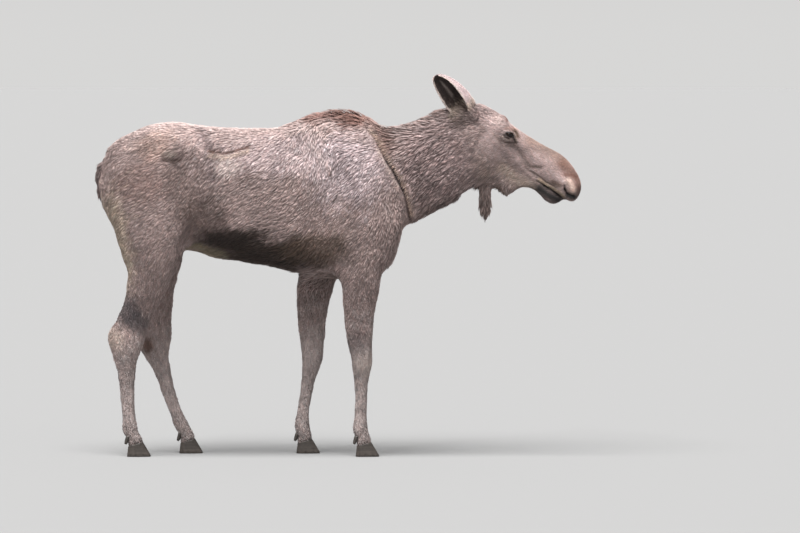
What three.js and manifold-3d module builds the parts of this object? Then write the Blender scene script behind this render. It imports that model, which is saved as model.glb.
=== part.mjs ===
// A life-size standing moose cow, in millimetres: +X towards its nose, +Y to its left, +Z up,
// standing on z = 0. Flesh is described by smooth distance fields (sweeps of rounded sections and
// ellipsoids blended together), meshed piece by piece, and parted by thin plane cuts.
import * as THREE from "three";
import { mergeVertices } from "three/addons/utils/BufferGeometryUtils.js";
import Module from "manifold-3d";

const wasm = await Module();
wasm.setup();

// ---------------------------------------------------------------- driving dimensions (mm)
const CUT = 0.6; // gap between two neighbouring pieces of flesh
const WITHERS_HEIGHT = 1770; // ground to the top of the mane on the hump
const EYE_RADIUS = 22;
const EAR_LENGTH = 250;
const BELL_LENGTH = 215;
const TAIL_LENGTH = 235;
const HOOF_HEIGHT = 68;
const RIGHT = -1;
const LEFT = 1;

// Head frame: origin inside the back of the skull, s runs to the nose, h runs up from the line of s.
const HEAD_ORIGIN = [676, 0, 1668];
const HEAD_PITCH = THREE.MathUtils.degToRad(31);

// Neck frame: origin between the shoulders, running up to the skull.
const NECK_ORIGIN = [293, 0, 1402];
const NECK_PITCH = THREE.MathUtils.degToRad(-25.7);

// Where the bones of each leg bend, as rows of [z, x, y]; y is the distance from the midline.
const FORE_JOINTS = {
  right: [[0, 133, 128], [75, 137, 127], [143, 118, 124], [479, 122, 126], [933, 112, 152],
    [1250, 190, 152]],
  left: [[0, -172, 128], [75, -168, 127], [146, -182, 124], [492, -133, 126], [600, -125, 130],
    [780, -126, 142],
    [933, -108, 152], [1250, 110, 152]],
};
const HIND_JOINTS = {
  right: [[0, -1028, 132], [75, -1024, 131], [143, -1052, 128], [592, -1057, 118], [1060, -905, 160],
    [1480, -985, 118]],
  left: [[0, -772, 132], [75, -768, 131], [143, -798, 128], [300, -852, 122], [430, -887, 118],
    [560, -927, 118],
    [700, -942, 124], [800, -944, 134], [943, -920, 150], [1060, -905, 160], [1480, -985, 118]],
};

// Flesh round the bones, as rows of [z, behind, in front, half width].
const FORE_FLESH = [
  [30, 40, 40, 34], [75, 40, 37, 36], [110, 41, 38, 37], [143, 42, 38, 38], [175, 37, 35, 34],
  [220, 32, 33, 30],
  [300, 31, 35, 30], [370, 37, 37, 33], [420, 43, 46, 42], [460, 48, 55, 50], [500, 53, 59, 52],
  [560, 67, 57, 50], [620, 76, 62, 50], [700, 83, 70, 54], [780, 87, 86, 61], [862, 88, 106, 72],
  [933, 96, 116, 80], [1000, 120, 140, 80], [1100, 140, 150, 78], [1250, 130, 120, 60],
];
const HIND_FLESH = [
  [30, 40, 40, 34], [75, 41, 37, 36], [110, 43, 38, 37], [143, 44, 38, 38], [180, 41, 33, 34],
  [250, 45, 26, 29],
  [350, 54, 27, 29], [430, 64, 33, 33], [480, 79, 40, 38], [520, 90, 55, 44], [560, 103, 70, 50],
  [600, 111, 84, 50], [640, 107, 89, 48], [700, 84, 95, 51], [780, 82, 102, 61], [862, 106, 106, 74],
  [943, 138, 112, 88], [1025, 186, 121, 102], [1107, 212, 130, 110], [1188, 226, 140, 115],
  [1300, 232, 160, 110], [1400, 200, 160, 104], [1480, 150, 140, 92],
];

// Trunk, as rows of [x, back line, belly line, half width, egg]; egg narrows the top and widens the belly.
const TRUNK = [
  [-1203, 1490, 1300, 66, 0], [-1155, 1582, 1230, 120, 0], [-1038, 1650, 1120, 172, 0],
  [-940, 1688, 1070, 196, 0],
  [-834, 1699, 1062, 208, 0.02], [-752, 1690, 1048, 218, 0.06], [-671, 1680, 1016, 228, 0.1],
  [-590, 1673, 998, 237, 0.14], [-507, 1670, 990, 244, 0.16], [-385, 1669, 966, 250, 0.2],
  [-303, 1675, 950, 246, 0.22], [-222, 1705, 929, 237, 0.26], [-140, 1737, 913, 225, 0.32],
  [-59, 1759, 900, 212, 0.36], [23, WITHERS_HEIGHT, 894, 200, 0.38], [105, 1754, 898, 190, 0.36],
  [186, 1712, 915, 178, 0.3],
  [240, 1645, 950, 158, 0.2], [290, 1500, 1030, 124, 0.1], [318, 1330, 1120, 76, 0],
];
// Neck, as rows of [distance along it, upper line, lower line, half width, egg].
const NECK = [
  [-160, 262, -212, 140, 0], [0, 300, -240, 140, 0.05], [100, 262, -239, 134, 0.1],
  [220, 233, -234, 122, 0.12],
  [340, 232, -218, 111, 0.1], [440, 210, -200, 100, 0.05], [500, 165, -165, 86, 0],
];
// Skull and muzzle down to the upper lip, as rows of [s, upper line, lower line, half width, egg].
const SKULL = [
  [-95, 60, -120, 70, 0], [-50, 112, -165, 92, 0], [0, 138, -185, 102, 0.05], [60, 141, -188, 106, 0.05],
  [118, 141, -178, 104, 0], [165, 127, -150, 99, -0.05], [210, 123, -118, 88, -0.05],
  [260, 120, -90, 76, 0],
  [310, 119, -72, 67, 0.05], [360, 119, -58, 62, 0.08], [400, 122, -52, 62, 0.08],
  [450, 125, -50, 66, 0.05],
  [500, 119, -54, 70, 0], [550, 102, -60, 72, 0], [600, 76, -62, 70, 0], [635, 44, -57, 56, 0],
  [652, 12, -40, 34, 0],
];
// Lower jaw and throat, as rows of [s, upper line, lower line, half width].
const JAW = [
  [60, -40, -203, 70], [150, -50, -202, 72], [215, -50, -200, 68], [265, -45, -200, 58],
  [305, -40, -202, 50],
  [340, -38, -203, 46], [358, -36, -168, 45], [375, -36, -134, 44], [400, -38, -114, 44],
  [443, -44, -104, 44],
  [485, -52, -112, 47],
  [530, -58, -123, 48], [562, -64, -117, 40], [582, -70, -98, 24],
];

// ---------------------------------------------------------------- distance fields
// A smooth curve through rows that are sorted by their first column: s => the other columns.
function profile(rows) {
  const at = rows.map((r) => r[0]);
  const width = rows[0].length - 1;
  const slope = (i, c) => (rows[i + 1][c] - rows[i][c]) / (at[i + 1] - at[i]);
  const tangent = rows.map((_, i) =>
    Array.from({ length: width }, (_, k) => {
      if (i === 0) return slope(0, k + 1);
      if (i === rows.length - 1) return slope(i - 1, k + 1);
      const [before, after] = [slope(i - 1, k + 1), slope(i, k + 1)];
      return before * after <= 0 ? 0 : (2 * before * after) / (before + after);
    }),
  );
  return (s) => {
    const end = rows.length - 1;
    if (s <= at[0]) return rows[0].slice(1);
    if (s >= at[end]) return rows[end].slice(1);
    let i = 0;
    while (s > at[i + 1]) i++;
    const step = at[i + 1] - at[i];
    const t = (s - at[i]) / step;
    const [t2, t3] = [t * t, t * t * t];
    return Array.from({ length: width }, (_, k) =>
      (2 * t3 - 3 * t2 + 1) * rows[i][k + 1] + (t3 - 2 * t2 + t) * step * tangent[i][k] +
      (3 * t2 - 2 * t3) * rows[i + 1][k + 1] + (t3 - t2) * step * tangent[i + 1][k]);
  };
}

// Distance from the point (side, rise) to a superellipse round the origin.
function section(side, rise, half, above, below, power) {
  const reach = Math.hypot(side, rise);
  if (reach < 1e-6) return -Math.min(half, above, below);
  const u = Math.abs(side) / half;
  const v = Math.abs(rise) / (rise > 0 ? above : below);
  return reach * (1 - (u ** power + v ** power) ** (-1 / power));
}

// Adds the flat ends of a sweep to the distance from its side.
function withEnds(radial, s, first, last) {
  const over = Math.max(first - s, s - last);
  if (over <= 0) return radial;
  return radial > 0 ? Math.hypot(radial, over) : over;
}

// Flesh along a line in the plane y = 0, in that line's own frame (s, y, h).
function sweep(rows, power = 2.1) {
  const shape = profile(rows);
  const [first, last] = [rows[0][0], rows[rows.length - 1][0]];
  return (s, y, h) => {
    const [top, bottom, half, egg = 0] = shape(s);
    const [middle, tall] = [(top + bottom) / 2, (top - bottom) / 2];
    const level = THREE.MathUtils.clamp((h - middle) / tall, -1, 1);
    const radial = section(y, h - middle, half * (1 - egg * level), tall, tall, power);
    return withEnds(radial, s, first, last);
  };
}

// A leg: its bones bend in x and y as z changes, and its sections are level.
function limb(joints, flesh, side) {
  const bone = profile(joints);
  const thickness = profile(flesh);
  const [first, last] = [flesh[0][0], flesh[flesh.length - 1][0]];
  return (x, y, z) => {
    const [boneX, boneY] = bone(z);
    const [behind, front, half] = thickness(z);
    const radial = section(y - side * boneY, x - boneX, half, front, behind, 2.2);
    return withEnds(radial, z, first, last);
  };
}

// An ellipsoid on both sides of the midline, or on it where its y is 0. pitch turns it nose down.
function ellipsoid([cx, cy, cz], [rx, ry, rz], pitch = 0) {
  const [cos, sin] = [Math.cos(pitch), Math.sin(pitch)];
  return (x, y, z) => {
    const [dx, dz] = [x - cx, z - cz];
    const p = [(dx * cos - dz * sin) / rx, (Math.abs(y) - cy) / ry, (dx * sin + dz * cos) / rz];
    const size = Math.hypot(...p);
    const slope = Math.hypot(p[0] / rx, p[1] / ry, p[2] / rz);
    return slope < 1e-9 ? -Math.min(rx, ry, rz) : (size * (size - 1)) / slope;
  };
}

const softMin = (a, b, k) => {
  const overlap = Math.max(k - Math.abs(a - b), 0) / k;
  return Math.min(a, b) - (overlap * overlap * k) / 4;
};
const softMax = (a, b, k) => -softMin(-a, -b, k);
// Joins fields given as [field, blend radius], or carves one away where its blend radius is negative.
const model = (parts) => (x, y, z) =>
  parts.slice(1).reduce((d, [field, k]) => {
    const other = field(x, y, z);
    return k > 0 ? softMin(d, other, k) : softMax(d, -other, -k);
  }, parts[0][0](x, y, z));

// A field written in a pitched frame, read in the animal's own frame.
function inFrame([ox, , oz], pitch, field) {
  const [cos, sin] = [Math.cos(pitch), Math.sin(pitch)];
  return (x, y, z) => {
    const [dx, dz] = [x - ox, z - oz];
    return field(dx * cos - dz * sin, y, dx * sin + dz * cos);
  };
}

// ---------------------------------------------------------------- the animal's flesh
const skullField = model([
  [sweep(SKULL, 2.3)],
  [ellipsoid([148, 70, 92], [62, 34, 32]), 30], // brow over the eye
  [ellipsoid([168, 76, 66], [52, 30, 40]), 24], // rim of the socket
  [ellipsoid([112, 56, -70], [112, 42, 92]), 34], // cheek muscle
  [ellipsoid([590, 46, 0], [50, 32, 46]), 30], // flare of the nostril
  [ellipsoid([345, 96, 10], [100, 34, 46]), -30], // hollow along the side of the muzzle
  [ellipsoid([242, 104, 58], [30, 22, 18]), -18], // pit in front of the eye
]);
const jawField = sweep(JAW, 2.2);
const headFieldLocal = model([[skullField], [jawField, 26]]);
const headField = inFrame(HEAD_ORIGIN, HEAD_PITCH, headFieldLocal);
const neckField = inFrame(NECK_ORIGIN, NECK_PITCH, sweep(NECK, 2.2));

const bodyField = model([
  [sweep(TRUNK, 2.2)],
  [ellipsoid([150, 118, 1260], [150, 88, 330], -0.28), 60], // shoulder blade and its muscle
  [ellipsoid([60, 140, 1080], [160, 70, 150], 0.35), 60], // triceps above the elbow
  [ellipsoid([228, 108, 1130], [88, 76, 150], 0.2), 50], // point of the shoulder
  [ellipsoid([-850, 140, 1560], [120, 60, 80]), 80], // point of the hip
  [ellipsoid([-1088, 82, 1380], [108, 80, 200], 0.15), 60], // buttock
  [ellipsoid([-660, 285, 1450], [140, 46, 120]), -90], // hollow of the flank
  [neckField, 60],
  [limb(FORE_JOINTS.right, FORE_FLESH, RIGHT), 45],
  [limb(FORE_JOINTS.left, FORE_FLESH, LEFT), 45],
  [limb(HIND_JOINTS.right, HIND_FLESH, RIGHT), 60],
  [limb(HIND_JOINTS.left, HIND_FLESH, LEFT), 60],
  [headField, 45],
]);

// ---------------------------------------------------------------- meshing
// The closed surface where the field is 0, inside the box from low to high, on a lattice of cells.
function polygonise(field, low, high, cell) {
  const count = low.map((v, i) => Math.ceil((high[i] - v) / cell[i]) + 1);
  const place = (i, axis) => low[axis] + i * cell[axis];
  const index = (i, j, k) => (i * count[1] + j) * count[2] + k;
  const value = new Float32Array(count[0] * count[1] * count[2]);
  for (let i = 0; i < count[0]; i++)
    for (let j = 0; j < count[1]; j++)
      for (let k = 0; k < count[2]; k++) {
        const d = field(place(i, 0), place(j, 1), place(k, 2));
        const rim = [i, j, k].some((n, axis) => n === 0 || n === count[axis] - 1);
        value[index(i, j, k)] = rim ? Math.max(d, 1) : d || 1e-6;
      }

  // One vertex for each cell that the surface crosses, at the mean of the crossings of its edges.
  const corners = [0, 1, 2, 3, 4, 5, 6, 7].map((n) => [n >> 2, (n >> 1) & 1, n & 1]);
  const vertexOf = new Map();
  const points = [];
  for (let i = 0; i < count[0] - 1; i++)
    for (let j = 0; j < count[1] - 1; j++)
      for (let k = 0; k < count[2] - 1; k++) {
        const d = corners.map(([a, b, c]) => value[index(i + a, j + b, k + c)]);
        if (d.every((v) => v > 0) || d.every((v) => v < 0)) continue;
        const sum = [0, 0, 0];
        let crossings = 0;
        for (let a = 0; a < 8; a++)
          for (const bit of [1, 2, 4]) {
            const b = a | bit;
            if (b === a || d[a] > 0 === d[b] > 0) continue;
            const t = d[a] / (d[a] - d[b]);
            corners[a].forEach((v, axis) => (sum[axis] += v + t * (corners[b][axis] - v)));
            crossings++;
          }
        vertexOf.set(index(i, j, k), points.length);
        points.push([i, j, k].map((n, axis) => place(n + sum[axis] / crossings, axis)));
      }
  points.forEach((p) => settle(field, p, Math.min(...cell) / 2, low, high));

  // One quad for each lattice edge that the surface crosses.
  const faces = [];
  const around = [[[0, 1, 0], [0, 0, 1]], [[0, 0, 1], [1, 0, 0]], [[1, 0, 0], [0, 1, 0]]];
  for (let i = 0; i < count[0] - 1; i++)
    for (let j = 0; j < count[1] - 1; j++)
      for (let k = 0; k < count[2] - 1; k++)
        around.forEach(([u, v], axis) => {
          if ([i, j, k].some((n, other) => other !== axis && n === 0)) return;
          const here = value[index(i, j, k)];
          const next = value[index(i + (axis === 0), j + (axis === 1), k + (axis === 2))];
          if (here > 0 === next > 0) return;
          const back = (a, b) =>
            vertexOf.get(index(i - a * u[0] - b * v[0], j - a * u[1] - b * v[1], k - a * u[2] - b * v[2]));
          const quad = [back(1, 1), back(0, 1), back(0, 0), back(1, 0)];
          if (here > 0) quad.reverse();
          faces.push(...splitQuad(points, quad));
        });
  return new THREE.BufferGeometry()
    .setAttribute("position", new THREE.Float32BufferAttribute(points.flat(), 3))
    .setIndex(faces);
}

// Moves a point onto the surface of the field, by at most `most`, except where the box cuts it.
function settle(field, p, most, low, high) {
  const margin = 2 * most;
  if (p.some((v, axis) => v < low[axis] + margin || v > high[axis] - margin)) return;
  const start = [...p];
  for (let round = 0; round < 4; round++) {
    const d = field(...p);
    const slope = p.map((_, axis) => {
      const q = [...p];
      q[axis] += 0.5;
      return (field(...q) - d) / 0.5;
    });
    const size2 = slope.reduce((sum, v) => sum + v * v, 1e-6);
    p.forEach((v, axis) => {
      const moved = v - (d * slope[axis]) / size2;
      p[axis] = THREE.MathUtils.clamp(moved, start[axis] - most, start[axis] + most);
    });
  }
}

// Two triangles of a quad, split along its shorter diagonal.
function splitQuad(points, [a, b, c, d]) {
  const apart = (m, n) => Math.hypot(...points[m].map((v, axis) => v - points[n][axis]));
  return apart(a, c) < apart(b, d) ? [a, b, c, a, c, d] : [b, c, d, b, d, a];
}

// ---------------------------------------------------------------- solids
function solidOf(geometry) {
  const bare = new THREE.BufferGeometry().setAttribute("position", geometry.getAttribute("position").clone());
  if (geometry.index) bare.setIndex(geometry.index.clone());
  const merged = mergeVertices(bare, 1e-3);
  return new wasm.Manifold(new wasm.Mesh({
    numProp: 3,
    vertProperties: merged.attributes.position.array,
    triVerts: new Uint32Array(merged.index.array),
  }));
}

function geometryOf(solid) {
  const { vertProperties, triVerts } = solid.getMesh();
  const geometry = new THREE.BufferGeometry()
    .setAttribute("position", new THREE.BufferAttribute(new Float32Array(vertProperties), 3))
    .setIndex(new THREE.BufferAttribute(new Uint32Array(triVerts), 1));
  return geometry;
}

const vector = (v) => new THREE.Vector3(...v);
const plane = (point, normal) => ({ point: vector(point), normal: vector(normal) });
const opposite = ({ point, normal }) => ({ point, normal: normal.clone().negate() });

// The space on the side of every plane that its normal points to, `shift` beyond the plane.
function region(planes, shift) {
  const size = 6000;
  const up = new THREE.Vector3(0, 0, 1);
  return planes
    .map(({ point, normal }) => {
      const turn = new THREE.Quaternion().setFromUnitVectors(up, normal.clone().normalize());
      const box = new THREE.BoxGeometry(size, size, size).translate(0, 0, size / 2 + shift);
      return solidOf(box.applyQuaternion(turn).translate(...point));
    })
    .reduce((all, half) => all.intersect(half));
}

const biggest = (solid) => solid.decompose().sort((a, b) => b.volume() - a.volume())[0];
const within = (solid, planes) => biggest(solid.intersect(region(planes, CUT / 2)));
const without = (solid, planes) => biggest(solid.subtract(region(planes, -CUT / 2)));
// What is left of a solid outside its neighbours, moved clear of them by `shift`.
const clearOf = (solid, neighbours, shift) =>
  biggest(neighbours.reduce((left, other) => left.subtract(other), solid)).translate(shift);

// The animal's flesh inside a box and within the planes, meshed on a lattice of the given cells.
const flesh = (low, high, cell, planes) => within(solidOf(polygonise(bodyField, low, high, cell)), planes);

// ---------------------------------------------------------------- where the animal is parted
const level = (z) => plane([0, 0, z], [0, 0, 1]);
const NECK_BASE = plane([385, 0, 1400], [0.93, 0, 0.36]);
const NECK_TOP = plane([672, 0, 1560], [0.985, 0, -0.17]);
const SHOULDER_LEVEL = level(884);
const THIGH_TOP = plane([-790, 0, 1010], [0.5, 0, 0.87]);
const KNEE_TOP = level(570);
const STIFLE = level(900);
const HOCK_TOP = level(668);
const FETLOCK_TOP = level(185);

const skin = new THREE.MeshStandardMaterial({ color: 0x83746b, roughness: 0.85, metalness: 0 });
const shadedSkin = new THREE.MeshStandardMaterial({ color: 0x5a4e47, roughness: 0.85, metalness: 0 });
const paleSkin = new THREE.MeshStandardMaterial({ color: 0x9a8f88, roughness: 0.85, metalness: 0 });
const horn = new THREE.MeshStandardMaterial({ color: 0x2c2724, roughness: 0.5, metalness: 0 });
const darkEye = new THREE.MeshStandardMaterial({ color: 0x120d0b, roughness: 0.08, metalness: 0 });

const moose = new THREE.Group();
function add(name, solid, material) {
  const mesh = new THREE.Mesh(geometryOf(solid), material);
  mesh.name = name;
  moose.add(mesh);
}

// ---------------------------------------------------------------- trunk and neck
const trunk = flesh([-1290, -420, 740], [540, 420, 1850], [103, 76, 86],
  [opposite(NECK_BASE), SHOULDER_LEVEL, THIGH_TOP]);
add("trunk", trunk, skin);
const neck = flesh([240, -230, 1020], [810, 230, 1860], [66, 52, 66], [NECK_BASE, opposite(NECK_TOP)]);
add("neck", neck, skin);

// ---------------------------------------------------------------- head, muzzle and jaw
const MOUTH_CORNER = [364, 0, -31];
const MOUTH_SLOPE = 0.149; // how far the mouth line falls for each mm towards the nose
const JAW_BACK = [196, 0, -120];
const MUZZLE_BACK = 292; // the muzzle starts this far along the head

// Places and directions of the head frame in the animal's own frame.
const headPoint = ([s, y, h]) => {
  const [cos, sin] = [Math.cos(HEAD_PITCH), Math.sin(HEAD_PITCH)];
  return [HEAD_ORIGIN[0] + s * cos + h * sin, y, HEAD_ORIGIN[2] - s * sin + h * cos];
};
const headDirection = (v) => headPoint(v).map((c, i) => c - HEAD_ORIGIN[i]);
const aboveMouth = plane(headPoint(MOUTH_CORNER), headDirection([MOUTH_SLOPE, 0, 1]));
const beforeThroat = plane(headPoint(JAW_BACK), headDirection([1, 0, -0.25]));
const beforeFace = plane(headPoint([MUZZLE_BACK, 0, 0]), headDirection([1, 0, 0]));

// Flesh of the head, meshed on a lattice that is turned with it.
function headFlesh(low, high, cell, planes) {
  const field = (s, y, h) => bodyField(...headPoint([s, y, h]));
  const geometry = polygonise(field, low, high, cell).rotateY(HEAD_PITCH).translate(...HEAD_ORIGIN);
  return within(solidOf(geometry), planes);
}

// The distance of the head's surface from the midline, beside the point (s, h).
function headSideAt(s, h) {
  let [inside, outside] = [0, 200];
  for (let round = 0; round < 30; round++) {
    const y = (inside + outside) / 2;
    if (headFieldLocal(s, y, h) < 0) inside = y;
    else outside = y;
  }
  return inside;
}

// An ellipsoid let into the side of the head at (s, h), `depth` below its surface.
function inHeadSide(side, [s, h], radii, depth, pitch) {
  const geometry = new THREE.SphereGeometry(1, 9, 6).rotateX(Math.PI / 2).scale(...radii);
  const y = side * (headSideAt(s, h) - depth);
  return solidOf(geometry.rotateY(HEAD_PITCH + pitch).translate(...headPoint([s, y, h])));
}

const EYE_AT = [185, 73];
const EYE_DEPTH = 14;
const NOSTRIL_AT = [601, -19];
const NOSTRIL_RADII = [36, 13, 15];
const NOSTRIL_PITCH = 0.3;
const eyeBall = (side, radius) => inHeadSide(side, EYE_AT, [radius, radius, radius], EYE_DEPTH, 0);
const nostril = (side) => inHeadSide(side, NOSTRIL_AT, NOSTRIL_RADII, 3, NOSTRIL_PITCH);
const withoutPair = (solid, cutter) => biggest(solid.subtract(cutter(RIGHT)).subtract(cutter(LEFT)));

const face = headFlesh([-190, -170, -300], [370, 170, 200], [36, 27, 31], [NECK_TOP, opposite(beforeFace)]);
const head = withoutPair(
  without(face, [opposite(aboveMouth), beforeThroat]),
  (side) => eyeBall(side, EYE_RADIUS + CUT / 2),
);
const muzzle = withoutPair(
  headFlesh([240, -130, -200], [690, 130, 190], [32, 24, 26], [beforeFace, aboveMouth]),
  nostril,
);
const jaw = headFlesh([140, -130, -260], [640, 130, 60], [36, 26, 30], [opposite(aboveMouth), beforeThroat]);
add("head", head, skin);
add("muzzle", muzzle, skin);
add("lower_jaw", jaw, shadedSkin);
for (const [side, name] of [[RIGHT, "right"], [LEFT, "left"]]) {
  add(`eye_${name}`, eyeBall(side, EYE_RADIUS), darkEye);
}

// ---------------------------------------------------------------- ears
const EAR_ROOT = [674, 64, 1738]; // inside the head, on the left side
const EAR_DIRECTION = [-0.57, 0.2, 0.8];
const EAR_HALF_WIDTH = 72;
const EAR_CUP = 58; // how deep the ear is hollowed
const EAR_WALL = 9;
const EAR_HOOK = 20; // how far its tip bends back
const EAR_OPENING = [-0.42, 0.82, -0.3]; // the way the left ear faces

function ear(side) {
  const mirrored = ([x, y, z]) => new THREE.Vector3(x, side * y, z);
  const root = mirrored(EAR_ROOT);
  const along = mirrored(EAR_DIRECTION).normalize();
  const back = mirrored(EAR_OPENING).negate();
  back.addScaledVector(along, -back.dot(along)).normalize();
  const across = new THREE.Vector3().crossVectors(along, back).multiplyScalar(side);
  const geometry = new THREE.SphereGeometry(1, 12, 9);
  const p = geometry.getAttribute("position");
  for (let i = 0; i < p.count; i++) {
    const reach = (1 + p.getY(i)) / 2; // from the root of the ear to its tip
    const round = Math.hypot(p.getX(i), p.getZ(i)) || 1;
    const sideways = side * p.getX(i) / round;
    const outwards = p.getZ(i) / round;
    const width = EAR_HALF_WIDTH * earWidth(reach);
    const cup = EAR_CUP * earWidth(reach) * (1 - sideways ** 2) * (1 - 0.45 * reach);
    const wall = (EAR_WALL / 2) * Math.min(1, 10 * Math.sqrt(reach * (1 - reach))) * outwards;
    const at = root.clone().addScaledVector(along, reach * EAR_LENGTH)
      .addScaledVector(across, sideways * width - EAR_HOOK * reach ** 3)
      .addScaledVector(back, cup + wall);
    p.setXYZ(i, at.x, at.y, at.z);
  }
  return solidOf(geometry);
}

// Share of the full width at a share of the ear's length from its root.
function earWidth(reach) {
  const swell = 0.6 + 0.4 * THREE.MathUtils.smoothstep(reach, -0.1, 0.45);
  return swell * Math.sqrt(Math.max(0, 1 - reach ** 2.6));
}

for (const [side, name] of [[RIGHT, "right"], [LEFT, "left"]]) {
  const outwards = [-CUT, side * CUT * 0.4, CUT];
  add(`ear_${name}`, clearOf(ear(side), [head, neck], outwards), paleSkin);
}

// ---------------------------------------------------------------- bell and tail
// A hanging lobe: a turned profile, pressed flat. rows are [distance from its tip, radius].
function lobe(rows, flatness, segments) {
  const shape = profile(rows);
  const [last] = rows[rows.length - 1];
  const steps = 6;
  const outline = Array.from({ length: steps + 1 }, (_, i) => {
    const s = (last * i) / steps;
    return new THREE.Vector2(i % steps === 0 ? 0 : shape(s)[0], s);
  });
  return new THREE.LatheGeometry(outline, segments).rotateX(Math.PI / 2).scale(1, flatness, 1);
}
const BELL_TIP = [752, 0, 1193];
const TAIL_TIP = [-1200, 0, 1285];
const bell = solidOf(lobe([[0, 8], [30, 27], [90, 38], [150, 36], [BELL_LENGTH + 45, 40]], 0.55, 8)
  .translate(...BELL_TIP));
const tail = solidOf(lobe([[0, 12], [50, 30], [120, 37], [180, 35], [TAIL_LENGTH, 22]], 1, 8)
  .rotateY(0.02).translate(...TAIL_TIP));
add("bell", clearOf(bell, [head, jaw, neck], [0, 0, -CUT]), shadedSkin);
add("tail", clearOf(tail, [trunk], [-CUT, 0, 0]), shadedSkin);

// ---------------------------------------------------------------- legs
const TOE_TILT = 0.3; // how much higher the hoof is at its front than at its heel
const TOE_SPREAD = 25.5;
const TOE = { front: 86, heel: 42, half: 23.2 };

// One toe of a hoof: rings that lean back as they rise, pointed in front.
function toe(x, y) {
  const tall = HOOF_HEIGHT + 40;
  const geometry = new THREE.CylinderGeometry(1, 1, tall, 10, 2);
  geometry.rotateX(Math.PI / 2).translate(0, 0, tall / 2);
  const p = geometry.getAttribute("position");
  for (let i = 0; i < p.count; i++) {
    const z = p.getZ(i);
    const ahead = p.getX(i);
    const lengthwise = ahead > 0 ? TOE.front - 0.62 * z : TOE.heel - 0.12 * z;
    const half = (TOE.half - 0.05 * z) * (1 - 0.32 * ahead * Math.abs(ahead));
    p.setXYZ(i, x + ahead * lengthwise, y + p.getY(i) * half, z);
  }
  return solidOf(geometry);
}

function dewclaw(x, y) {
  const geometry = new THREE.CylinderGeometry(14, 9, 44, 5).rotateX(Math.PI / 2).scale(1, 0.8, 1);
  return solidOf(geometry.rotateY(0.35).translate(x, y, 84));
}

function lowerLeg(name, side, bone) {
  const [[soleX, soleY], [coronetX]] = [bone(0), bone(75)];
  const coronet = plane([coronetX, 0, HOOF_HEIGHT - 4], [-TOE_TILT, 0, 1]);
  const y = side * soleY;
  const low = [coronetX - 126, y - 84, 16];
  const high = [coronetX + 124, y + 84, 280];
  const pastern = flesh(low, high, [28, 23, 30], [coronet, opposite(FETLOCK_TOP)]);
  add(`${name}_pastern`, pastern, skin);
  for (const [inOrOut, toeName] of [[-1, "inner"], [1, "outer"]]) {
    const offset = inOrOut * side;
    const hoof = within(toe(soleX, y + offset * TOE_SPREAD), [opposite(coronet)]);
    add(`${name}_hoof_${toeName}`, hoof, horn);
    const claw = dewclaw(coronetX - 44, y + offset * 22);
    add(`${name}_dewclaw_${toeName}`, clearOf(claw, [pastern], [-CUT, offset * 0.2, 0]), horn);
  }
}

for (const [side, name] of [[RIGHT, "right"], [LEFT, "left"]]) {
  const fore = profile(FORE_JOINTS[name]);
  const [elbowX] = fore(860);
  const [kneeX] = fore(479);
  const ys = side < 0 ? [-270, -10] : [10, 270];
  add(`foreleg_${name}_forearm`, flesh([elbowX - 190, ys[0], 520], [elbowX + 190, ys[1], 990], [44, 36, 70],
    [opposite(SHOULDER_LEVEL), KNEE_TOP]), skin);
  add(`foreleg_${name}_shank`, flesh([kneeX - 150, ys[0], 130], [kneeX + 130, ys[1], 650], [30, 25, 54],
    [opposite(KNEE_TOP), FETLOCK_TOP]), paleSkin);
  lowerLeg(`foreleg_${name}`, side, fore);

  const hind = profile(HIND_JOINTS[name]);
  const [hockX] = hind(590);
  const midline = plane([0, 0, 0], [0, side, 0]);
  const [inner, outer] = side < 0 ? [-320, 60] : [-60, 320];
  add(`hindleg_${name}_thigh`, flesh([-1300, inner, 850], [-700, outer, 1500], [64, 54, 66],
    [opposite(THIGH_TOP), STIFLE, midline]), skin);
  add(`hindleg_${name}_gaskin`, flesh([-1200, ys[0], 620], [-740, ys[1], 980], [46, 38, 62],
    [opposite(STIFLE), HOCK_TOP, midline]), skin);
  add(`hindleg_${name}_shank`, flesh([hockX - 170, ys[0], 130], [hockX + 230, ys[1], 750], [34, 26, 55],
    [opposite(HOCK_TOP), FETLOCK_TOP, midline]), paleSkin);
  lowerLeg(`hindleg_${name}`, side, hind);
}

// The middle of the animal's outline on the ground is the origin.
const bounds = new THREE.Box3().setFromObject(moose);
moose.position.x = -(bounds.min.x + bounds.max.x) / 2;
moose.position.y = -(bounds.min.y + bounds.max.y) / 2;

export default moose;
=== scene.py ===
import math
from collections import Counter

import bmesh
import bpy
import numpy as np
from mathutils import Matrix, Vector
from mathutils.bvhtree import BVHTree
from mathutils.kdtree import KDTree


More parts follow.
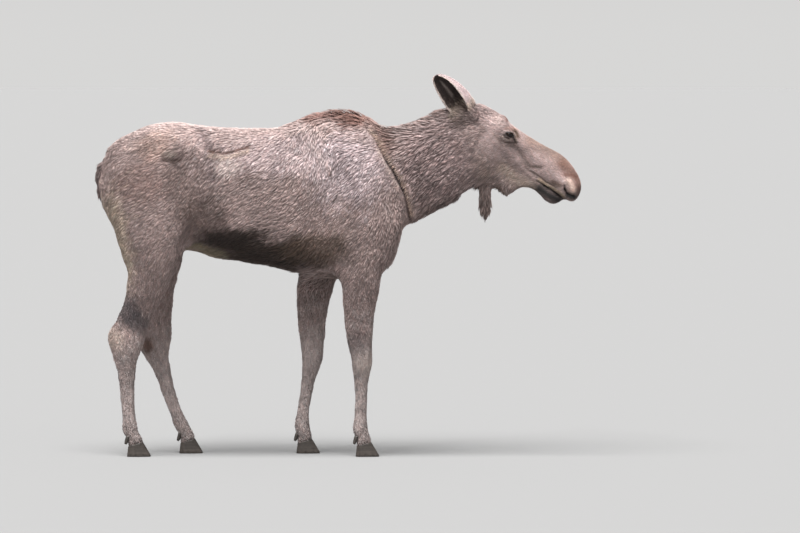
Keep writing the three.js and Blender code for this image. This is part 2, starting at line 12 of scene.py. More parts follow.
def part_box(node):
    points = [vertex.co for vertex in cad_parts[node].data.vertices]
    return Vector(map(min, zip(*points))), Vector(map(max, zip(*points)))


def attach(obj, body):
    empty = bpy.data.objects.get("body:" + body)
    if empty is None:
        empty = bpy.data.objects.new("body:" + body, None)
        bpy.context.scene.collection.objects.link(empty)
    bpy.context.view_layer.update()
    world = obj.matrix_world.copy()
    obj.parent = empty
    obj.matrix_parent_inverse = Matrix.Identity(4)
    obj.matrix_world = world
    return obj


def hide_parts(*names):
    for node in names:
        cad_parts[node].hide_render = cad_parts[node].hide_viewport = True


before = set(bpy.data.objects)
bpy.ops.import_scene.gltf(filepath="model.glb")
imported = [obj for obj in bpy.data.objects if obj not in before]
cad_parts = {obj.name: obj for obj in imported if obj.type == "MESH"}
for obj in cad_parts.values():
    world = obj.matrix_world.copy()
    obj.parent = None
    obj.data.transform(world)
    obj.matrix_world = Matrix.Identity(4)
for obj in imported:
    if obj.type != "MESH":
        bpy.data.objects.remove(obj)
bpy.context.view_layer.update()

# A standing moose cow: one skin over the frame's flesh, a coat of solid tufts on the skin,
# eyes between lids, and horn hooves. Lengths are in metres; +X is towards the nose.

RIGHT, LEFT = -1, 1
SIDES = {RIGHT: "right", LEFT: "left"}
LEGS = ("foreleg_right", "foreleg_left", "hindleg_right", "hindleg_left")
CHANCE = np.random.default_rng(7)

# ------------------------------------------------------------------ camera and studio
FLOOR_HALF = 400  # so far that its edge meets the room at eye level
FLOOR_TONE = (0.2505, 0.253, 0.2545, 1)
CAMERA_AWAY = 30.0  # a long lens from far off
CAMERA_RISE = math.radians(2.0)
VIEW_WIDTH = 4.08  # what the frame takes in at the animal
VIEW_CENTRE = Vector((0.315, 0, 0.9614))
ROOM_TONE = (1.0, 0.995, 0.985, 1)
ROOM_LEVEL, ROOM_OVERHEAD = 0.68, 0.34  # the room's light at eye level, as pale as the floor, and above
ROOM_FADE = 0.12  # how far above eye level it has fallen to that
# Rows of: name, the way to the lamp, its strength, how wide it is in degrees, its colour.
LAMPS = [
    ("overhead", (-0.20, -0.36, 1.0), 7.3, 46, (1.0, 0.985, 0.975)),
    ("spark", (-0.30, -0.80, 0.75), 0.35, 4, (1.0, 1.0, 1.0)),  # for a glint in the eye
    ("front_fill", (0.35, -1.0, 0.35), 0.4, 60, (1.0, 0.98, 0.98)),
]


def lamp(name, towards, strength, softness, colour):
    """A far lamp: towards is the way to it, softness how wide it is, in degrees."""
    data = bpy.data.lights.new(name, "SUN")
    data.energy = strength
    data.angle = math.radians(softness)
    data.color = colour
    light = bpy.data.objects.new(name, data)
    light.rotation_euler = Vector(towards).to_track_quat("Z", "Y").to_euler()
    bpy.context.collection.objects.link(light)


def pale_floor():
    bm = bmesh.new()
    bmesh.ops.create_grid(bm, x_segments=1, y_segments=1, size=FLOOR_HALF)
    mesh = bpy.data.meshes.new("floor")
    bm.to_mesh(mesh)
    bm.free()
    floor = bpy.data.objects.new("floor", mesh)
    bpy.context.collection.objects.link(floor)
    material = bpy.data.materials.new("pale_floor")
    material.use_nodes = True
    surface = material.node_tree.nodes["Principled BSDF"]
    surface.inputs["Base Color"].default_value = FLOOR_TONE
    surface.inputs["Roughness"].default_value = 0.9
    mesh.materials.append(material)


def room():
    """An even room that ends in the floor's own tone, so that no horizon shows."""
    world = bpy.data.worlds.new("room")
    world.use_nodes = True
    nodes, links = world.node_tree.nodes, world.node_tree.links
    way = nodes.new("ShaderNodeTexCoord")
    split = nodes.new("ShaderNodeSeparateXYZ")
    fade = nodes.new("ShaderNodeMapRange")
    fade.interpolation_type = "SMOOTHSTEP"
    fade.inputs["From Max"].default_value = ROOM_FADE
    fade.inputs["To Min"].default_value = ROOM_LEVEL
    fade.inputs["To Max"].default_value = ROOM_OVERHEAD
    nodes["Background"].inputs["Color"].default_value = ROOM_TONE
    links.new(way.outputs["Generated"], split.inputs[0])
    links.new(split.outputs["Z"], fade.inputs["Value"])
    links.new(fade.outputs["Result"], nodes["Background"].inputs["Strength"])
    bpy.context.scene.world = world


def studio():
    """A pale floor and room, the lamps and the camera."""
    pale_floor()
    room()
    for row in LAMPS:
        lamp(*row)
    data = bpy.data.cameras.new("camera")
    data.sensor_width = 36
    data.lens = data.sensor_width * CAMERA_AWAY / VIEW_WIDTH
    data.clip_end = 1000
    camera = bpy.data.objects.new("camera", data)
    back = Vector((0, -math.cos(CAMERA_RISE), math.sin(CAMERA_RISE)))
    camera.location = VIEW_CENTRE + back * CAMERA_AWAY
    camera.rotation_euler = (-back).to_track_quat("-Z", "Y").to_euler()
    bpy.context.collection.objects.link(camera)
    bpy.context.scene.camera = camera
    bpy.context.scene.view_settings.view_transform = "Standard"


# ------------------------------------------------------------------ meshes as arrays
def points_of(mesh):
    flat = np.empty(len(mesh.vertices) * 3, np.float32)
    mesh.vertices.foreach_get("co", flat)
    return flat.reshape(-1, 3).astype(float)


def set_points(mesh, points):
    mesh.vertices.foreach_set("co", points.astype(np.float32).ravel())
    mesh.update()


def normals_of(mesh):
    flat = np.empty(len(mesh.vertices) * 3, np.float32)
    mesh.vertices.foreach_get("normal", flat)
    return flat.reshape(-1, 3).astype(float)


def edges_of(mesh):
    flat = np.empty(len(mesh.edges) * 2, np.int32)
    mesh.edges.foreach_get("vertices", flat)
    return flat.reshape(-1, 2)


def unit(vectors):
    return vectors / np.maximum(np.linalg.norm(vectors, axis=-1, keepdims=True), 1e-12)


def rise(value, low, high):
    """0 below low, 1 above high, and a smooth step between."""
    t = np.clip((value - low) / (high - low), 0, 1)
    return t * t * (3 - 2 * t)


def relax(points, edges, share, rounds):
    """Moves each point its share of the way to the mean of its neighbours, again and again."""
    a, b = edges.T
    total = len(points)
    count = np.maximum(np.bincount(edges.ravel(), minlength=total), 1)[:, None]
    for _ in range(rounds):
        sums = [np.bincount(a, points[b, k], total) + np.bincount(b, points[a, k], total) for k in range(3)]
        points = points + share[:, None] * (np.stack(sums, 1) / count - points)
    return points


def new_object(name, mesh):
    made = bpy.data.objects.new(name, mesh)
    bpy.context.collection.objects.link(made)
    return made


def from_bmesh(name, bm):
    mesh = bpy.data.meshes.new(name)
    bm.to_mesh(mesh)
    bm.free()
    return mesh


def with_modifiers(thing):
    """The object's mesh with its modifiers applied; the object itself goes."""
    seen = thing.evaluated_get(bpy.context.evaluated_depsgraph_get())
    mesh = bpy.data.meshes.new_from_object(seen)
    name = thing.name
    bpy.data.objects.remove(thing)
    mesh.name = name
    return mesh


# ------------------------------------------------------------------ the skin
FLESH = ["trunk", "neck", "head", "muzzle", "lower_jaw", "bell", "tail"]
FLESH += [f"foreleg_{side}_{piece}" for side in SIDES.values() for piece in ("forearm", "shank", "pastern")]
FLESH += [f"hindleg_{side}_{piece}" for side in SIDES.values()
          for piece in ("thigh", "gaskin", "shank", "pastern")]
OVERLAP = 0.001  # closes the thin cuts between the frame's pieces of flesh
HOOF_COVER = 0.012  # how far the skin runs down inside a hoof
SKIN_GRAIN = 0.012
PLANE_FACES = 5  # faces in one plane that make it a cut


def merged_copy(node):
    bm = bmesh.new()
    bm.from_mesh(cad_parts[node].data)
    bmesh.ops.remove_doubles(bm, verts=bm.verts, dist=1e-5)
    bm.normal_update()
    return bm


def corners_of(bm):
    """The corners that lie on the animal's outside, without those of the flat cuts."""
    def plane(face):
        return tuple(round(c, 3) for c in face.normal) + (round(face.normal.dot(face.verts[0].co), 4),)

    planes = Counter(plane(face) for face in bm.faces)
    cut = {v for face in bm.faces if planes[plane(face)] >= PLANE_FACES for v in face.verts}
    return [v.co.copy() for v in bm.verts if v not in cut]


# Where the frame's nostrils are sunk: their middle and reach on the head in millimetres, as
# HEAD_STROKES are, and how far from the midline they can lie.
PIT, PIT_REACH, PIT_ASIDE = (601, -19), (42, 20), 0.060
SOCKET = 1.15  # the reach of an eye's socket, in radii of the eye


def in_a_hollow(corner):
    """True in the eye sockets and nostrils, which the skin closes first and opens again later."""
    if any(np.linalg.norm(np.array(corner) - eye) < EYE_RADIUS * SOCKET for eye in EYES):
        return True
    along, up = on_head(np.array([corner]))[0]
    away = ((along - PIT[0]) / PIT_REACH[0]) ** 2 + ((up - PIT[1]) / PIT_REACH[1]) ** 2
    return away < 1 and abs(corner[1]) < PIT_ASIDE


def fused_flesh():
    """The frame's flesh as one closed mesh, and the corners that it has on its outside."""
    whole = bmesh.new()
    corners = []
    for node in FLESH + ["eye_right", "eye_left"]:
        part = merged_copy(node)
        if node in FLESH:
            corners += corners_of(part)
        for v in part.verts:
            v.co += v.normal * OVERLAP
        mesh = from_bmesh(node, part)
        whole.from_mesh(mesh)
        if node.endswith("pastern"):
            mesh.transform(Matrix.Translation((0, 0, -HOOF_COVER)))
            whole.from_mesh(mesh)
        bpy.data.meshes.remove(mesh)
    corners = [c for c in corners if not in_a_hollow(c)]
    thing = new_object("flesh", from_bmesh("flesh", whole))
    remesh = thing.modifiers.new("fuse", "REMESH")
    remesh.mode = "VOXEL"
    remesh.voxel_size = SKIN_GRAIN
    return with_modifiers(thing), np.array(corners)


def nearest(places, points, count):
    """Indices of and distances to the `count` places nearest to each point."""
    tree = KDTree(len(places))
    for i, place in enumerate(places):
        tree.insert(place, i)
    tree.balance()
    found = [tree.find_n(p, count) for p in points]
    return (np.array([[hit[1] for hit in row] for row in found]),
            np.array([[hit[2] for hit in row] for row in found]))


COARSE_FACETS = 0.08  # corners this far apart get the full smoothing
SMOOTHING, SMOOTHING_ROUNDS = 0.55, 50
GUIDES, NEIGHBOURS = 6, 4  # corners that draw a point, and that tell how far corners are apart
DRAWING_FALL, DRAWING_ROUNDS = 1.5, 4
LAST_SMOOTHING, LAST_ROUNDS = 0.4, 3


def drawn_onto(mesh, corners):
    """Smooths the facets away, then draws the surface back onto the frame's corners."""
    points, edges = points_of(mesh), edges_of(mesh)
    index, away = nearest(corners, points, GUIDES)
    spacing = nearest(corners, corners, NEIGHBOURS + 1)[1][:, 1:].mean(1)[index].mean(1)
    share = SMOOTHING * np.minimum(1, (spacing / COARSE_FACETS) ** 2)
    points = relax(points, edges, share, SMOOTHING_ROUNDS)
    weight = np.exp(-DRAWING_FALL * (away / spacing[:, None]) ** 2) + 1e-6
    weight /= weight.sum(1, keepdims=True)
    faces = [tuple(f.vertices) for f in mesh.polygons]
    for _ in range(DRAWING_ROUNDS):
        tree = BVHTree.FromPolygons(points.tolist(), faces)
        gap = np.array([np.array(c) - np.array(tree.find_nearest(c)[0]) for c in corners])
        points = points + (weight[:, :, None] * gap[index]).sum(1)
    return relax(points, edges, np.full(len(points), LAST_SMOOTHING), LAST_ROUNDS)


# ------------------------------------------------------------------ the head
# Places on the head are (along, up) in millimetres: along from the back of the skull to the
# nose, up from that line. A stroke is mirrored onto both sides of the head.
MILLIMETRE = 0.001
HEAD_ORIGIN = np.array([0.6723, 0, 1.668])
HEAD_PITCH = math.radians(31)
HEAD_ALONG = np.array([math.cos(HEAD_PITCH), 0, -math.sin(HEAD_PITCH)])
HEAD_UP = np.array([math.sin(HEAD_PITCH), 0, math.cos(HEAD_PITCH)])
NOSTRIL = [(562, -4), (574, -20), (592, -31), (618, -36), (638, -26)]
MOUTH = [(428, -54), (474, -57), (519, -56), (552, -60), (590, -65)]

# Rows of: the stroke's path, its width and how far it raises the skin.
HEAD_STROKES = [
    ([(158, 33), (186, 27), (213, 41), (243, 57)], 6, -4.0),  # furrow under the eye
    ([(150, 20), (190, 10), (236, 30)], 8, -2.5),  # a second one below it
    ([(167, 51), (188, 45), (205, 52), (211, 63)], 4, 2.5),  # edge of the lower lid
    ([(166, 90), (184, 97), (206, 98)], 4, -2.0),  # fold over the upper lid
    ([(150, 104), (176, 118), (212, 122)], 13, 4.0),  # brow
    ([(122, 66), (136, 84)], 14, 3.0),  # behind the eye
    ([(207, 75), (219, 67), (232, 60)], 4, -5.0),  # tear duct
    ([(212, 86), (224, 78), (236, 67)], 5, 3.0),
    ([(238, 40), (298, 17), (338, -4), (364, -11), (390, 2), (414, 12)], 11, -5.0),  # under the nose bone
    ([(258, 66), (330, 46), (400, 40)], 20, 4.0),  # side of the nose bone
    ([(150, 4), (220, 0), (290, -22)], 17, 5.0),  # cheek bone
    ([(344, -24), (367, -30), (434, -30), (470, -37), (520, -34)], 4, -3.5),  # fold over the upper lip
    ([(330, -40), (392, -52), (426, -56)], 8, 3.0),  # behind the corner of the mouth
    ([(440, -42), (484, -46), (548, -46), (588, -53)], 8, 3.5),  # upper lip
    ([(455, -80), (520, -88), (565, -82)], 16, 4.0),  # lower lip
    (MOUTH[:2], 4, -5.0),
    (MOUTH[1:], 5, -11.0),
    ([(515, -20), (545, -18)], 13, -4.0),  # behind the nostril
    ([(562, 26), (584, 24), (606, 6), (618, -6)], 14, 7.0),  # wing of the nostril
    (NOSTRIL[:2], 5, -8.0),
    (NOSTRIL[1:], 7, -18.0),
    ([(606, -36), (632, -30)], 14, -15.0),
    ([(70, 20), (66, -60), (96, -150)], 18, -7.0),  # behind the jaw
    ([(280, -120), (350, -100), (430, -84)], 12, -3.0),  # under the jaw's side
]
# Rows of: middle (along, distance from the midline, up), reach, raise.
HEAD_BUMPS = [
    ((128, 30, 140), 22, 8.0),  # horn boss
    ((186, 62, 108), 24, 4.0),  # rim of the socket
]

# Lines on the body, in (x, z) metres.
CREASE = [(0.150, 1.665), (0.196, 1.615), (0.247, 1.505), (0.291, 1.440), (0.334, 1.355), (0.369, 1.210)]
SHOULDER_EDGE = [(0.178, 1.650), (0.222, 1.590), (0.268, 1.515),
                 (0.306, 1.450), (0.347, 1.380), (0.380, 1.235)]
LOIN_EDGE = [(-0.645, 1.556), (-0.560, 1.545), (-0.445, 1.575)]
HIP_VALLEY = [(-0.680, 1.660), (-0.644, 1.555), (-0.628, 1.420)]
FLANK_FOLD = [(-0.725, 1.330), (-0.700, 1.230), (-0.745, 1.120)]
BOTH = 0
# Strokes on trunk and legs: path in (x, z) metres, width and raise in millimetres, side.
BODY_STROKES = [
    (CREASE, 13, -15.0, BOTH),  # where neck and shoulder meet
    (SHOULDER_EDGE, 15, 9.0, BOTH),
    ([(-0.02, 1.640), (0.070, 1.480), (0.130, 1.300)], 36, 8.0, BOTH),  # ridge of the shoulder blade
    ([(-0.130, 1.380), (-0.090, 1.200), (-0.110, 1.030)], 34, -11.0, BOTH),  # behind the shoulder
    (FLANK_FOLD, 30, -12.0, BOTH),
    (LOIN_EDGE, 15, -7.0, BOTH),
    ([(-0.650, 1.585), (-0.560, 1.575), (-0.445, 1.605)], 20, 5.0, BOTH),  # above the loin's edge
    (HIP_VALLEY, 30, -8.0, BOTH),
    ([(-0.870, 1.515), (-0.830, 1.508), (-0.780, 1.522)], 20, -7.0, BOTH),  # below the hip bone
    ([(-0.880, 1.560), (-0.830, 1.556)], 26, 7.0, BOTH),  # hip bone
    ([(-1.090, 1.330), (-1.070, 1.150), (-1.030, 0.960)], 24, -8.0, BOTH),  # back of the thigh
    ([(-1.080, 0.820), (-1.098, 0.720), (-1.095, 0.650)], 13, -9.0, RIGHT),  # before the tendon
    ([(-0.965, 0.820), (-0.985, 0.720), (-0.970, 0.640)], 13, -9.0, LEFT),
    ([(-1.078, 0.460), (-1.072, 0.340), (-1.070, 0.230)], 9, -5.0, RIGHT),
    ([(-0.905, 0.460), (-0.880, 0.340), (-0.850, 0.230)], 9, -5.0, LEFT),
    ([(0.100, 0.420), (0.100, 0.320), (0.102, 0.220)], 9, -5.0, RIGHT),
    ([(-0.155, 0.420), (-0.170, 0.320), (-0.180, 0.220)], 9, -5.0, LEFT),
]
# Where the hair is shorter: path, reach in millimetres, the share that it loses.
PARTED = [(CREASE, 34, 0.65), (LOIN_EDGE, 30, 0.35), (FLANK_FOLD, 40, 0.35)]

SIDEWAYS = (0.15, 0.5)  # how far a normal leans aside where strokes begin, and where they are full
HEAD_LEVEL = 1.2  # above it, and far enough ahead, all is head or neck
HEAD_BEGINS = (-30, 20)  # along the head, where strokes begin, and where they are full
HEAD_REFINED, REFINED_LEVEL = -40, 1.25  # ahead of the one and above the other
HEAD_SMOOTHING, HEAD_ROUNDS = 0.5, 4
FEATURE_REACH = {"mouth": 26, "nostril": 30}  # what is refined round them, in millimetres
NOSE_END = 650
EYE_REFINED = (0.062, 0.040)  # round each eye, once and once more


def on_head(points):
    """How far along the head each point is, and how far up, in millimetres."""
    away = (points - HEAD_ORIGIN) / MILLIMETRE
    return np.stack([away @ HEAD_ALONG, away @ HEAD_UP], 1)


def off_path(places, path):
    """Each place's distance from a line through the path's points."""
    path = np.array(path, float)
    best = np.full(len(places), np.inf)
    for a, b in zip(path[:-1], path[1:]):
        step = b - a
        t = np.clip((places - a) @ step / (step @ step), 0, 1)[:, None]
        best = np.minimum(best, np.linalg.norm(places - a - t * step, axis=1))
    return best


def refine(mesh, wanted):
    """Cuts each face whose middle is wanted into four."""
    bm = bmesh.new()
    bm.from_mesh(mesh)
    middles = np.array([f.calc_center_median() for f in bm.faces])
    chosen = [f for f, want in zip(bm.faces, wanted(middles)) if want]
    edges = list({e for f in chosen for e in f.edges})
    bmesh.ops.subdivide_edges(bm, edges=edges, cuts=1, use_grid_fill=True)
    bm.to_mesh(mesh)
    bm.free()


def body_sculpted(mesh):
    """Works the strokes into trunk and legs, where the skin faces sideways."""
    points, normals = points_of(mesh), normals_of(mesh)
    side = rise(np.abs(normals[:, 1]), *SIDEWAYS)
    raised = np.zeros(len(points))
    for path, width, height, only in BODY_STROKES:
        there = 1 if only == BOTH else points[:, 1] * only > 0
        away = off_path(points[:, [0, 2]] / MILLIMETRE, np.array(path) / MILLIMETRE)
        raised += height * np.exp(-(away / width) ** 2) * there
    set_points(mesh, points + normals * (raised * side * MILLIMETRE)[:, None])


def near_features(places):
    """True by the mouth and the nostrils."""
    mouth = off_path(places, MOUTH) < FEATURE_REACH["mouth"]
    nostril = (off_path(places, NOSTRIL) < FEATURE_REACH["nostril"]) & (places[:, 0] < NOSE_END)
    return mouth | nostril


def head_sculpted(mesh):
    """Refines the head's skin and works the strokes into it."""
    refine(mesh, lambda p: (on_head(p)[:, 0] > HEAD_REFINED) & (p[:, 2] > REFINED_LEVEL))
    refine(mesh, lambda p: near_features(on_head(p)) & (p[:, 2] > HEAD_LEVEL))
    for reach in EYE_REFINED:
        for eye in EYES:
            refine(mesh, lambda p: np.linalg.norm(p - eye, axis=1) < reach)
    points, edges = points_of(mesh), edges_of(mesh)
    places = on_head(points)
    ahead = rise(places[:, 0], *HEAD_BEGINS) * (points[:, 2] > HEAD_LEVEL)
    points = relax(points, edges, HEAD_SMOOTHING * ahead, HEAD_ROUNDS)
    set_points(mesh, points)
    places, normals = on_head(points), normals_of(mesh)
    side = rise(np.abs(normals[:, 1]), *SIDEWAYS) * ahead
    raised = np.zeros(len(points))
    for path, width, height in HEAD_STROKES:
        raised += height * np.exp(-(off_path(places, path) / width) ** 2)
    raised *= side
    aside = np.abs(points[:, 1:2]) / MILLIMETRE
    spots = np.hstack([places[:, :1], aside, places[:, 1:]])
    for middle, reach, height in HEAD_BUMPS:
        raised += height * np.exp(-(np.linalg.norm(spots - middle, axis=1) / reach) ** 2)
    set_points(mesh, points + normals * (raised * MILLIMETRE)[:, None])


# ------------------------------------------------------------------ ears
EAR_ROOT = np.array([0.686, 0.058, 1.712])  # of the left ear, inside the head
EAR_ALONG = np.array([-0.611, 0.239, 0.792])
EAR_FACES = np.array([-0.094, 0.332, -0.396])  # the way the left ear opens
EAR_LENGTH = 0.297
EAR_HALF_WIDTH = 0.070
EAR_WALL = 0.006
EAR_SPREAD = 0.081  # nothing of the ear is further off its axis
EAR_BEGINS = (0.22, 0.34)  # up the leaf: where the head's coat ends, and where the ear's is full
EAR_ROUNDS = (math.radians(137), math.radians(87))  # half its curl, at the root and at the tip
EAR_BEND = 0.026  # how far the tip bends
# The width is half * (start + more * a rise between two reaches), and closes as 1 - reach ** blunt.
EAR_START, EAR_MORE, EAR_WIDENS, EAR_BLUNT = 0.595, 0.405, (-0.10, 0.48), 3.36
EAR_END = 0.985  # up the leaf, where its grid ends
EAR_GRAIN, EAR_THINNED = 0.0026, 0.15  # of its mesh, and the share of its faces that is kept


def ear_axes(side):
    mirror = np.array([1, side, 1])
    along = unit(EAR_ALONG * mirror)
    faces = EAR_FACES * mirror
    faces = unit(faces - along * (faces @ along))
    return along, np.cross(along, faces) * side, faces


def ear_sheet(side, across, reach):
    """A point of the ear's leaf: across from -1 to 1, and reach from 0 at the root to 1."""
    along, aside, faces = ear_axes(side)
    wide = EAR_START + EAR_MORE * rise(reach, *EAR_WIDENS)
    half = EAR_HALF_WIDTH * wide * np.sqrt(max(0, 1 - reach ** EAR_BLUNT))
    curl = EAR_ROUNDS[0] * (1 - reach) + EAR_ROUNDS[1] * reach
    radius = half / math.sin(min(curl, math.pi / 2))
    turn = across * curl
    place = EAR_ROOT * np.array([1, side, 1]) + along * (reach * EAR_LENGTH)
    place = place + aside * (radius * math.sin(turn) + EAR_BEND * reach ** 3)
    return place - faces * radius * (math.cos(turn) - math.cos(EAR_ROUNDS[1]))


def round_ear(points, side):
    """How far up an ear each point is, its vector from the ear's axis, and its turn, 1 at the edge."""
    along, aside, faces = ear_axes(side)
    away = points - EAR_ROOT * np.array([1, side, 1])
    up = away @ along / EAR_LENGTH
    off = away - np.outer(away @ along, along) - np.outer(EAR_BEND * np.clip(up, 0, 1) ** 3, aside)
    turn = np.arctan2(np.abs(off @ aside), -(off @ faces))
    curl = EAR_ROUNDS[0] * (1 - up) + EAR_ROUNDS[1] * up
    return up, off, turn / curl


def ear(side):
    """A curled leaf with a thick root and a thin, rounded edge."""
    bm = bmesh.new()
    bmesh.ops.create_grid(bm, x_segments=26, y_segments=34, size=1)
    for v in bm.verts:
        v.co = ear_sheet(side, v.co.x, EAR_END * (v.co.y + 1) / 2)
    thing = new_object(f"ear_{SIDES[side]}_leaf", from_bmesh("ear", bm))
    wall = thing.modifiers.new("wall", "SOLIDIFY")
    wall.thickness = EAR_WALL
    wall.offset = 0
    wall.use_even_offset = False
    remesh = thing.modifiers.new("round", "REMESH")
    remesh.mode = "VOXEL"
    remesh.voxel_size = EAR_GRAIN
    smooth = thing.modifiers.new("smooth", "SMOOTH")
    smooth.factor, smooth.iterations = 0.5, 6
    thin = thing.modifiers.new("thin", "DECIMATE")
    thin.ratio = EAR_THINNED
    return with_modifiers(thing)


def with_ears(mesh):
    """The skin with both ears grown out of it."""
    thing = new_object("skin_with_ears", mesh)
    leaves = [new_object(f"ear_{side}", ear(side)) for side in SIDES]
    for leaf in leaves:
        join = thing.modifiers.new("join", "BOOLEAN")
        join.operation = "UNION"
        join.solver = "EXACT"
        join.object = leaf
    joined = with_modifiers(thing)
    for leaf in leaves:
        bpy.data.objects.remove(leaf)
    return joined


# ------------------------------------------------------------------ eyes
EYES = [np.array((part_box(f"eye_{side}")[0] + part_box(f"eye_{side}")[1]) / 2) for side in SIDES.values()]
EYE_RADIUS = (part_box("eye_right")[1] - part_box("eye_right")[0]).z / 2
EYE_SLANT = math.radians(15)  # the slit against the line of the head
LID = 0.0026
EYE_WIDE, EYE_ABOVE, EYE_BELOW = 0.0192, 0.0112, 0.0100  # half sizes of the opening
# In the next rows 1 is the rim of the opening. The skin's corners in the zone are moved off the
# rim, so that it runs between them, and those at the zone's outer end stay where they are.
RIM_ZONE, RIM_INNER, RIM_OUTER, RIM_SLOPE = (0.75, 1.25), 0.96, 1.04, 0.84
LID_LEAVES = (1.3, 2.2)  # where the lid begins to leave the ball, and where it has left it
EYE_REGION, EYE_BEHIND = 2.4, -0.012  # how far out, and how far back, lids are looked for
BALL_EDGE = 0.86  # where the ball gets too steep, as a share of its radius squared
SUNK = 0.006  # how deep the skin lies under the ball inside the opening
CORNEA, CORNEA_EDGE = 0.05, (0.72, 0.95)  # how far it swells, and from where to where


def eye_axes(side):
    """Forward along the slit, up across it, and out of the socket."""
    forward = HEAD_ALONG * math.cos(EYE_SLANT) + HEAD_UP * math.sin(EYE_SLANT)
    out = unit(np.array([0.0, side, 0.0]) + 0.30 * HEAD_ALONG + 0.10 * HEAD_UP)
    forward = unit(forward - out * (forward @ out))
    up = np.cross(out, forward) * side
    return forward, up * np.sign(up[2]), out


def in_eye(points, eye, side):
    """Each point along the eye's three axes, and its place in the opening: 1 on the rim."""
    forward, up, out = eye_axes(side)
    away = points - eye
    u, v, w = away @ forward, away @ up, away @ out
    tall = np.where(v > 0, EYE_ABOVE, EYE_BELOW)
    return u, v, w, np.hypot(u / EYE_WIDE, v / tall)


def lids_opened(mesh):
    """Lays the skin over each eyeball as lids, and sinks it inside the opening."""
    points = points_of(mesh)
    for side, eye in zip(SIDES, EYES):
        axes = np.stack(eye_axes(side))
        u, v, w, ring = in_eye(points, eye, side)
        near = (w > EYE_BEHIND) & (ring < EYE_REGION)
        pushed = np.where(ring < 1, np.clip(ring, 0, RIM_INNER), RIM_OUTER + (ring - 1) * RIM_SLOPE)
        at_rim = near & (ring > RIM_ZONE[0]) & (ring < RIM_ZONE[1])
        scale = np.where(at_rim, pushed / np.maximum(ring, 1e-6), 1)
        u, v = u * scale, v * scale
        flat2 = np.minimum(u * u + v * v, BALL_EDGE * EYE_RADIUS ** 2)
        over = np.sqrt((EYE_RADIUS + LID) ** 2 - flat2)
        under = np.sqrt(EYE_RADIUS ** 2 - flat2) - SUNK
        lid = (1 - rise(ring, *LID_LEAVES)) * near
        w = np.where(near & (ring < 1), under, w * (1 - lid) + over * lid)
        moved = eye + np.stack([u, v, w], 1) @ axes
        points = np.where(near[:, None], moved, points)
    set_points(mesh, points)


EYE_SEGMENTS = 48


def eyeball(side, eye):
    """A ball with a swelling cornea, and for its material where each point lies in the gaze."""
    bm = bmesh.new()
    bmesh.ops.create_uvsphere(bm, u_segments=EYE_SEGMENTS, v_segments=EYE_SEGMENTS // 2, radius=1)
    axes = np.stack(eye_axes(side))
    for v in bm.verts:
        forward, up, out = v.co.x, v.co.y, v.co.z
        swell = 1 + CORNEA * float(rise(out, *CORNEA_EDGE))
        v.co = eye + np.array([forward, up, out]) @ axes * (EYE_RADIUS * swell)
    bmesh.ops.recalc_face_normals(bm, faces=bm.faces)
    mesh = from_bmesh(f"eye_{SIDES[side]}_ball", bm)
    mesh.polygons.foreach_set("use_smooth", np.ones(len(mesh.polygons), bool))
    gaze = mesh.attributes.new("gaze", "FLOAT_VECTOR", "POINT")
    local = (points_of(mesh) - eye) @ axes.T / EYE_RADIUS
    gaze.data.foreach_set("vector", local.astype(np.float32).ravel())
    return mesh


